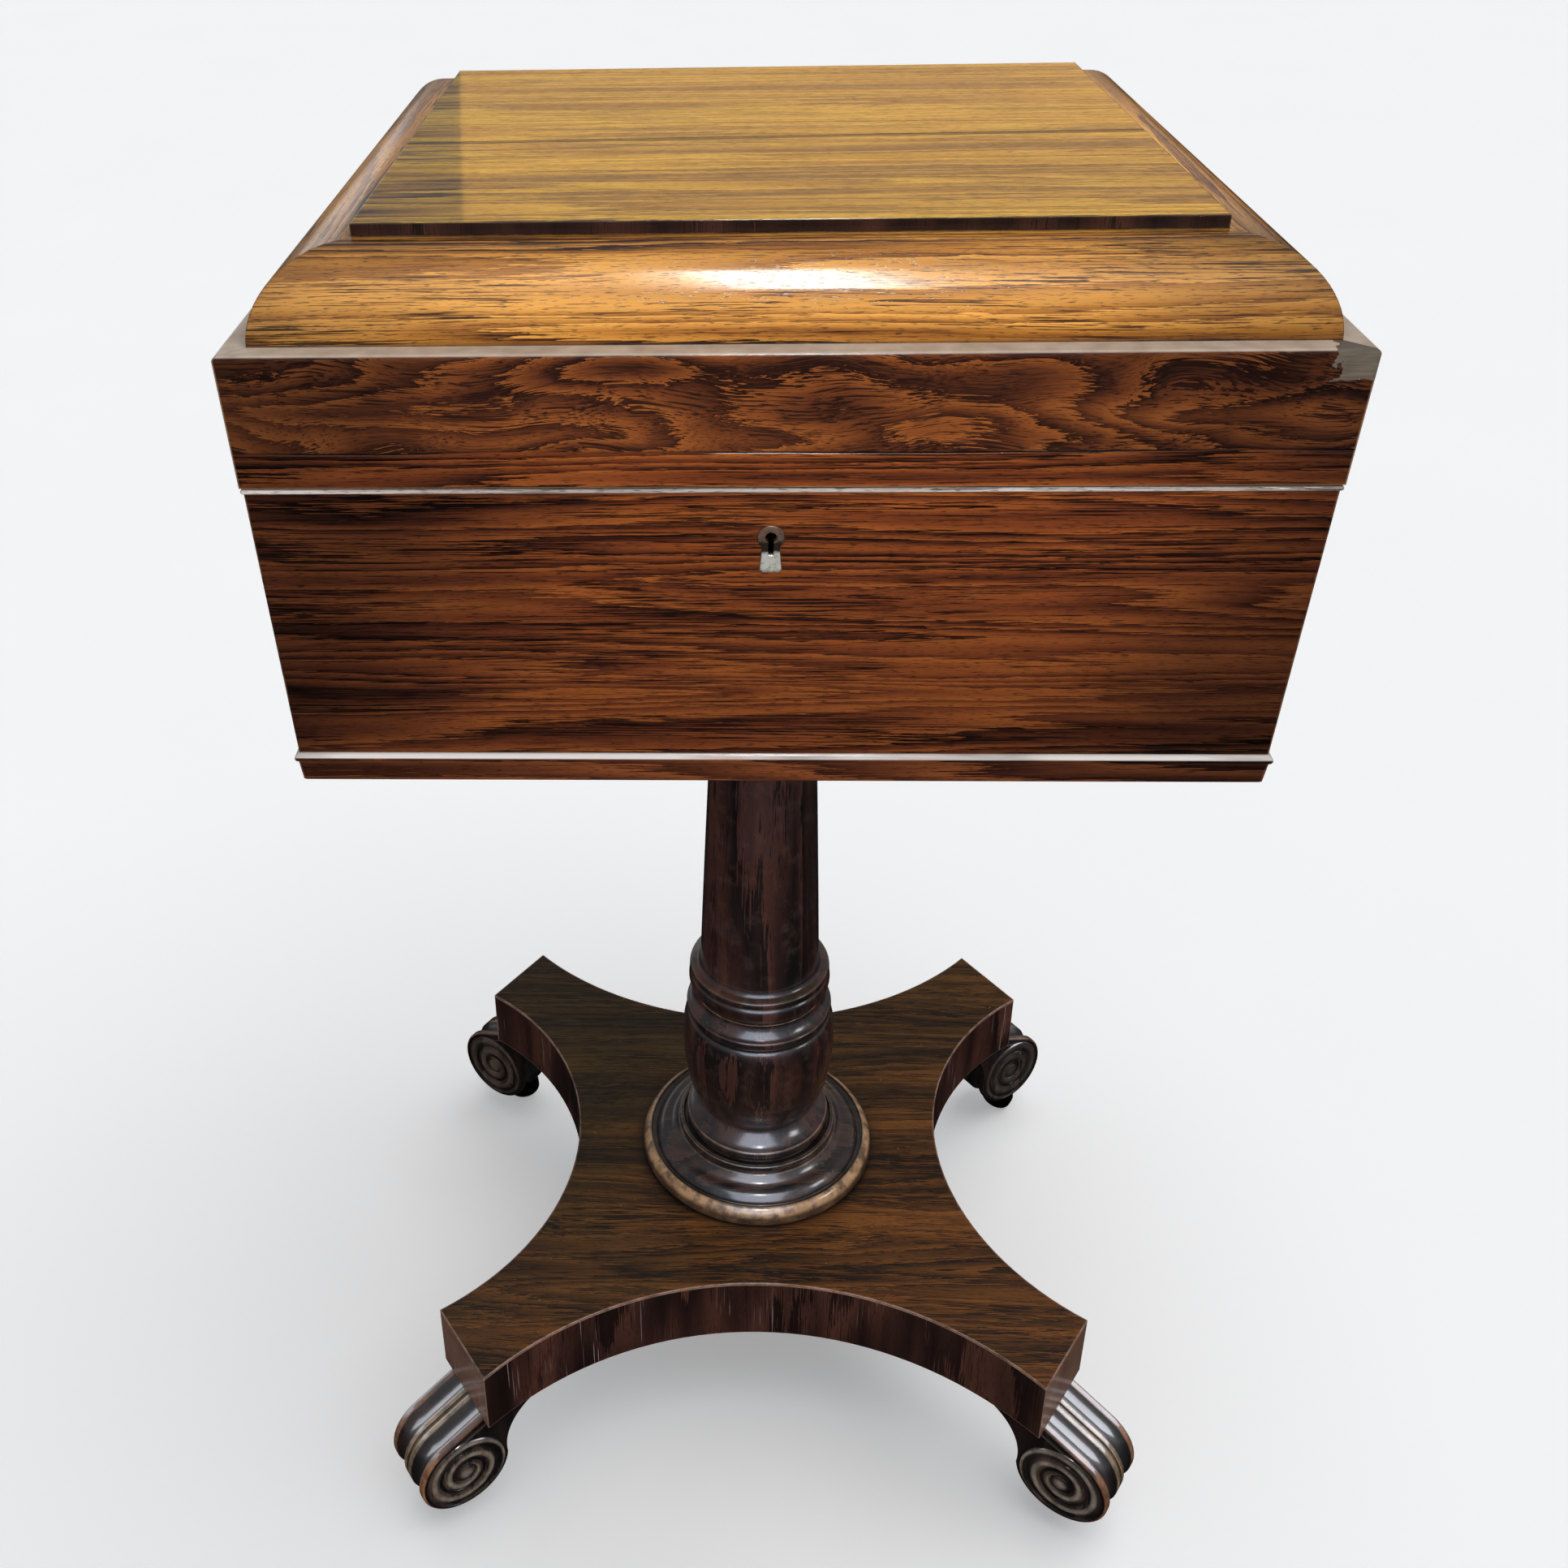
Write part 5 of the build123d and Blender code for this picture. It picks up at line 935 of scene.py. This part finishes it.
class TEAPOY_OT_interior(bpy.types.Operator):
    """Finish the canisters, the deck and the glass bowls"""
    bl_idname = "teapoy.interior"
    bl_label = "Interior"

    def execute(self, context):
        box = veneer("rosewood_canister", PURPLE, "y", SATIN)
        for corner in CORNERS:
            give(f"canister_{corner}", box)
            give(f"canister_lid_{corner}", veneer(f"rosewood_canister_lid_{corner}", ROSEWOOD, "y", SATIN))
        deck = veneer("rosewood_deck", ROSEWOOD, "y", SATIN)
        for node in ("bowl_deck", "divider_left", "divider_right"):
            give(node, deck)
        give("bottom_board", veneer("mahogany_bottom", CARCASS, "x", DULL))
        # tin foil pressed to the wood: soft grey with wide dull clouds
        give("canister_linings", plain_metal("tin_foil_lining", "#9a9a9c", "#5c5c60", 0.4, 14))
        # drawn brass wire: small yellow glints
        give("canister_lid_pins", plain_metal("brass_lid_pins", "#b08a48", "#5d4524", 0.28, 4))
        glass = self.glass()
        for node in ("glass_bowl_front", "glass_bowl_back"):
            give(node, glass)
        return {"FINISHED"}

    def glass(self):
        """Blown glass: clear with a faint green tint, and slow ripples that bend the highlights."""
        material, tree = new_material("glass_blown")
        ripple = add(tree, "TexNoise", {"Vector": millimetres(tree), "Scale": 1 / 45.5, "Detail": 1.0})
        bumped = add(tree, "Bump", {"Height": ripple, "Strength": 0.2, "Distance": 0.0006})
        shader = add(tree, "BsdfPrincipled", {"Base Color": linear("#e9f3ef"), "Roughness": 0.02, "IOR": 1.5,
                                              "Transmission Weight": 1.0, "Normal": bumped})
        add(tree, "OutputMaterial", {"Surface": shader})
        return material


class TEAPOY_OT_stage(bpy.types.Operator):
    """Lay the floor, hang the lights and set up the camera"""
    bl_idname = "teapoy.stage"
    bl_label = "Stage"

    def execute(self, context):
        scene = context.scene
        wanted = scene.teapoy_stage
        scene.view_settings.view_transform = "Standard"
        floor = self.floor(scene, wanted.floor_size / 2)
        self.wall(scene)
        self.room(scene, wanted.room)
        # two wide lights for the object, and one from above that gives the floor its soft shadow
        self.far_light("key", (0.75, -0.55, 0.90), 50, wanted.key_strength, floor, "EXCLUDE")
        self.far_light("fill", (-0.35, -0.90, 0.50), 60, wanted.fill_strength, floor, "EXCLUDE")
        self.far_light("floor_light", (0.25, 0.0, 1.0), 62, wanted.floor_strength, floor, "INCLUDE")
        # lamp, cards and a gold reflector, which only the polish mirrors: place, target and size in metres
        cards = wanted.card_power
        feet = [(NODES[f"scroll_foot_{c}"], bpy.data.objects[f"volutes_{c}"]) for c in CORNERS]
        front_feet, all_feet = sum(feet[:2], ()), sum(feet, ())
        turned = (bpy.data.objects["turned_column"], bpy.data.objects["turned_foot_disc"])
        self.card("overhead_lamp", (0.065, -0.72, 2.1), (0.0, -0.19, 0.77), (0.20, 0.70), cards)
        self.card("front_card", (0.0, -1.50, 1.80), (0.0, 0.0, 0.2), (1.80, 2.40), cards * 3.6, "#d9e6fb",
                  turned)
        self.card("left_card", (-1.9, 0.6, 0.75), (-0.2, -0.17, 0.07), (1.5, 1.2), cards * 1.2, "#f3f6ff",
                  front_feet)
        self.card("right_card", (1.6, 0.2, 1.3), (0.2, -0.17, 0.07), (1.5, 1.3), cards * 2.7, "#f3f6ff",
                  all_feet)
        self.card("side_card", (1.2, -0.5, 1.0), (0.05, 0.0, 0.15), (0.30, 0.30), cards / 6, "#ffffff",
                  turned)
        self.card("pale_card", (-1.6, 2.6, 1.20), (-0.2, 0, 0.79), (1.5, 0.9), cards / 9)
        self.card("gold_reflector", (0.25, 2.9, 1.45), (0, 0, 0.79), (1.7, 0.5), wanted.gold_power, "#ffb94a")
        self.camera(scene)
        return {"FINISHED"}

    def floor(self, scene, half):
        """A square of plain paper, which lights itself a little so that its shadow stays soft and pale."""
        mesh = bpy.data.meshes.new("floor")
        mesh.from_pydata([(-half, -half, 0), (half, -half, 0), (half, half, 0), (-half, half, 0)], [],
                         [(0, 1, 2, 3)])
        floor = bpy.data.objects.new("floor", mesh)
        scene.collection.objects.link(floor)
        floor.visible_glossy = False
        material, tree = new_material("paper_backdrop")
        place = add(tree, "TexCoord").outputs["Object"]
        speck = add(tree, "TexNoise", {"Vector": place, "Scale": 3.0})
        tone = laid(tree, "#f2f2f2", "#f5f5f5", speck)
        shader = add(tree, "BsdfPrincipled", {"Base Color": tone, "Roughness": 0.9, "Specular IOR Level": 0.1,
                                              "Emission Color": tone, "Emission Strength": 0.32})
        add(tree, "OutputMaterial", {"Surface": shader})
        mesh.materials.append(material)
        return floor

    def room(self, scene, brightness):
        """A plain room, light above the skyline and dark below it, which only reflections see."""
        world = bpy.data.worlds.new("plain_room")
        world.use_nodes = True
        tree = world.node_tree
        tree.nodes.clear()
        up = add(tree, "SeparateXYZ", {0: add(tree, "TexCoord").outputs["Generated"]}).outputs[2]
        level = add(tree, "MapRange", {0: up, 1: -0.06, 2: 0.06, 3: 0.03 * brightness, 4: brightness})
        glow = add(tree, "Background", {"Color": linear("#eef3fa"), "Strength": level})
        add(tree, "OutputWorld", {"Surface": glow})
        scene.world = world

    def wall(self, scene):
        """A pale round wall far behind, which gives no light: radius times cosine and sine of the angle."""
        angle = np.arange(WALL_SIDES) * 2 * pi / WALL_SIDES
        ring = np.column_stack((WALL_R * np.cos(angle), WALL_R * np.sin(angle), 0 * angle))
        points = np.vstack((ring, ring + (0, 0, 2 * WALL_R)))
        here, after = np.arange(WALL_SIDES), (np.arange(WALL_SIDES) + 1) % WALL_SIDES
        faces = np.column_stack((after, here, here + WALL_SIDES, after + WALL_SIDES))
        mesh = bpy.data.meshes.new("wall")
        mesh.from_pydata(points.tolist(), [], faces.tolist())
        wall = bpy.data.objects.new("wall", mesh)
        scene.collection.objects.link(wall)
        for ray in ("diffuse", "glossy", "shadow", "transmission"):
            setattr(wall, f"visible_{ray}", False)
        # paper so far off that it looks flat and even
        material, tree = new_material("paper_wall")
        add(tree, "OutputMaterial", {"Surface": add(tree, "Emission", {"Color": linear("#efefef")})})
        mesh.materials.append(material)

    def far_light(self, name, toward, angle, strength, floor, state):
        """A wide soft light without end distance, seen in the direction given, for the floor alone or not."""
        data = bpy.data.lights.new(name, "SUN")
        data.energy = strength
        data.angle = radians(angle)
        light = bpy.data.objects.new(name, data)
        light.rotation_euler = (-Vector(toward)).to_track_quat("-Z", "Y").to_euler()
        light.visible_glossy = False
        bpy.context.scene.collection.objects.link(light)
        chosen = bpy.data.collections.new(name)
        chosen.objects.link(floor)
        chosen.collection_objects[0].light_linking.link_state = state
        light.light_linking.receiver_collection = chosen

    def card(self, name, place, target, size, power, colour="#ffffff", seen_by=()):
        """A lit rectangle turned to a target, which only the polish mirrors, on every piece or on a few."""
        data = bpy.data.lights.new(name, "AREA")
        data.shape = "RECTANGLE"
        data.size, data.size_y = size
        data.energy = power
        data.color = linear(colour)[:3]
        light = bpy.data.objects.new(name, data)
        light.location = place
        light.rotation_euler = (Vector(target) - Vector(place)).to_track_quat("-Z", "Y").to_euler()
        light.visible_diffuse = False
        bpy.context.scene.collection.objects.link(light)
        if seen_by:
            chosen = bpy.data.collections.new(name)
            for piece in seen_by:
                chosen.objects.link(piece)
            light.light_linking.receiver_collection = chosen

    def camera(self, scene):
        """A camera from its yaw, pitch and roll: forward, right and up are worked out and set as columns."""
        forward = Vector((-sin(YAW) * cos(PITCH), cos(YAW) * cos(PITCH), -sin(PITCH)))
        level = Vector((cos(YAW), sin(YAW), 0))
        rise = Vector((-sin(YAW) * sin(PITCH), cos(YAW) * sin(PITCH), cos(PITCH)))
        right = level * cos(ROLL) + rise * sin(ROLL)
        up = -level * sin(ROLL) + rise * cos(ROLL)
        turn = Matrix((right, up, -forward)).transposed().to_4x4()
        data = bpy.data.cameras.new("camera")
        data.sensor_width, data.lens = SENSOR, LENS
        data.shift_x, data.shift_y = SHIFT_X, SHIFT_Y
        data.clip_start = 0.05
        view = bpy.data.objects.new("camera", data)
        place = Vector((CAMERA_X, CAMERA_Y, PLATFORM_TOP + CAMERA_RISE)) / 1000
        view.matrix_world = Matrix.Translation(place) @ turn
        scene.collection.objects.link(view)
        scene.camera = view


class TEAPOY_PT_panel(bpy.types.Panel):
    """Steps that dress the teapoy"""
    bl_label = "Teapoy"
    bl_idname = "TEAPOY_PT_panel"
    bl_space_type = "VIEW_3D"
    bl_region_type = "UI"
    bl_category = "Teapoy"

    def draw(self, context):
        layout = self.layout
        for group in (context.scene.teapoy_timber, context.scene.teapoy_stage):
            for name in group.__annotations__:
                layout.prop(group, name)
        for operator in OPERATORS:
            layout.operator(operator.bl_idname)


OPERATORS = (TEAPOY_OT_case, TEAPOY_OT_lid, TEAPOY_OT_pedestal, TEAPOY_OT_feet, TEAPOY_OT_fittings,
             TEAPOY_OT_interior, TEAPOY_OT_stage)
CLASSES = (TeapoyTimber, TeapoyStage) + OPERATORS + (TEAPOY_PT_panel,)


def register():
    for cls in CLASSES:
        bpy.utils.register_class(cls)
    bpy.types.Scene.teapoy_timber = bpy.props.PointerProperty(type=TeapoyTimber)
    bpy.types.Scene.teapoy_stage = bpy.props.PointerProperty(type=TeapoyStage)


def unregister():
    del bpy.types.Scene.teapoy_stage
    del bpy.types.Scene.teapoy_timber
    for cls in reversed(CLASSES):
        bpy.utils.unregister_class(cls)


def main():
    """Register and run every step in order."""
    register()
    bpy.ops.teapoy.case()
    bpy.ops.teapoy.lid()
    bpy.ops.teapoy.pedestal()
    bpy.ops.teapoy.feet()
    bpy.ops.teapoy.fittings()
    bpy.ops.teapoy.interior()
    bpy.ops.teapoy.stage()


if __name__ == "__main__":
    main()
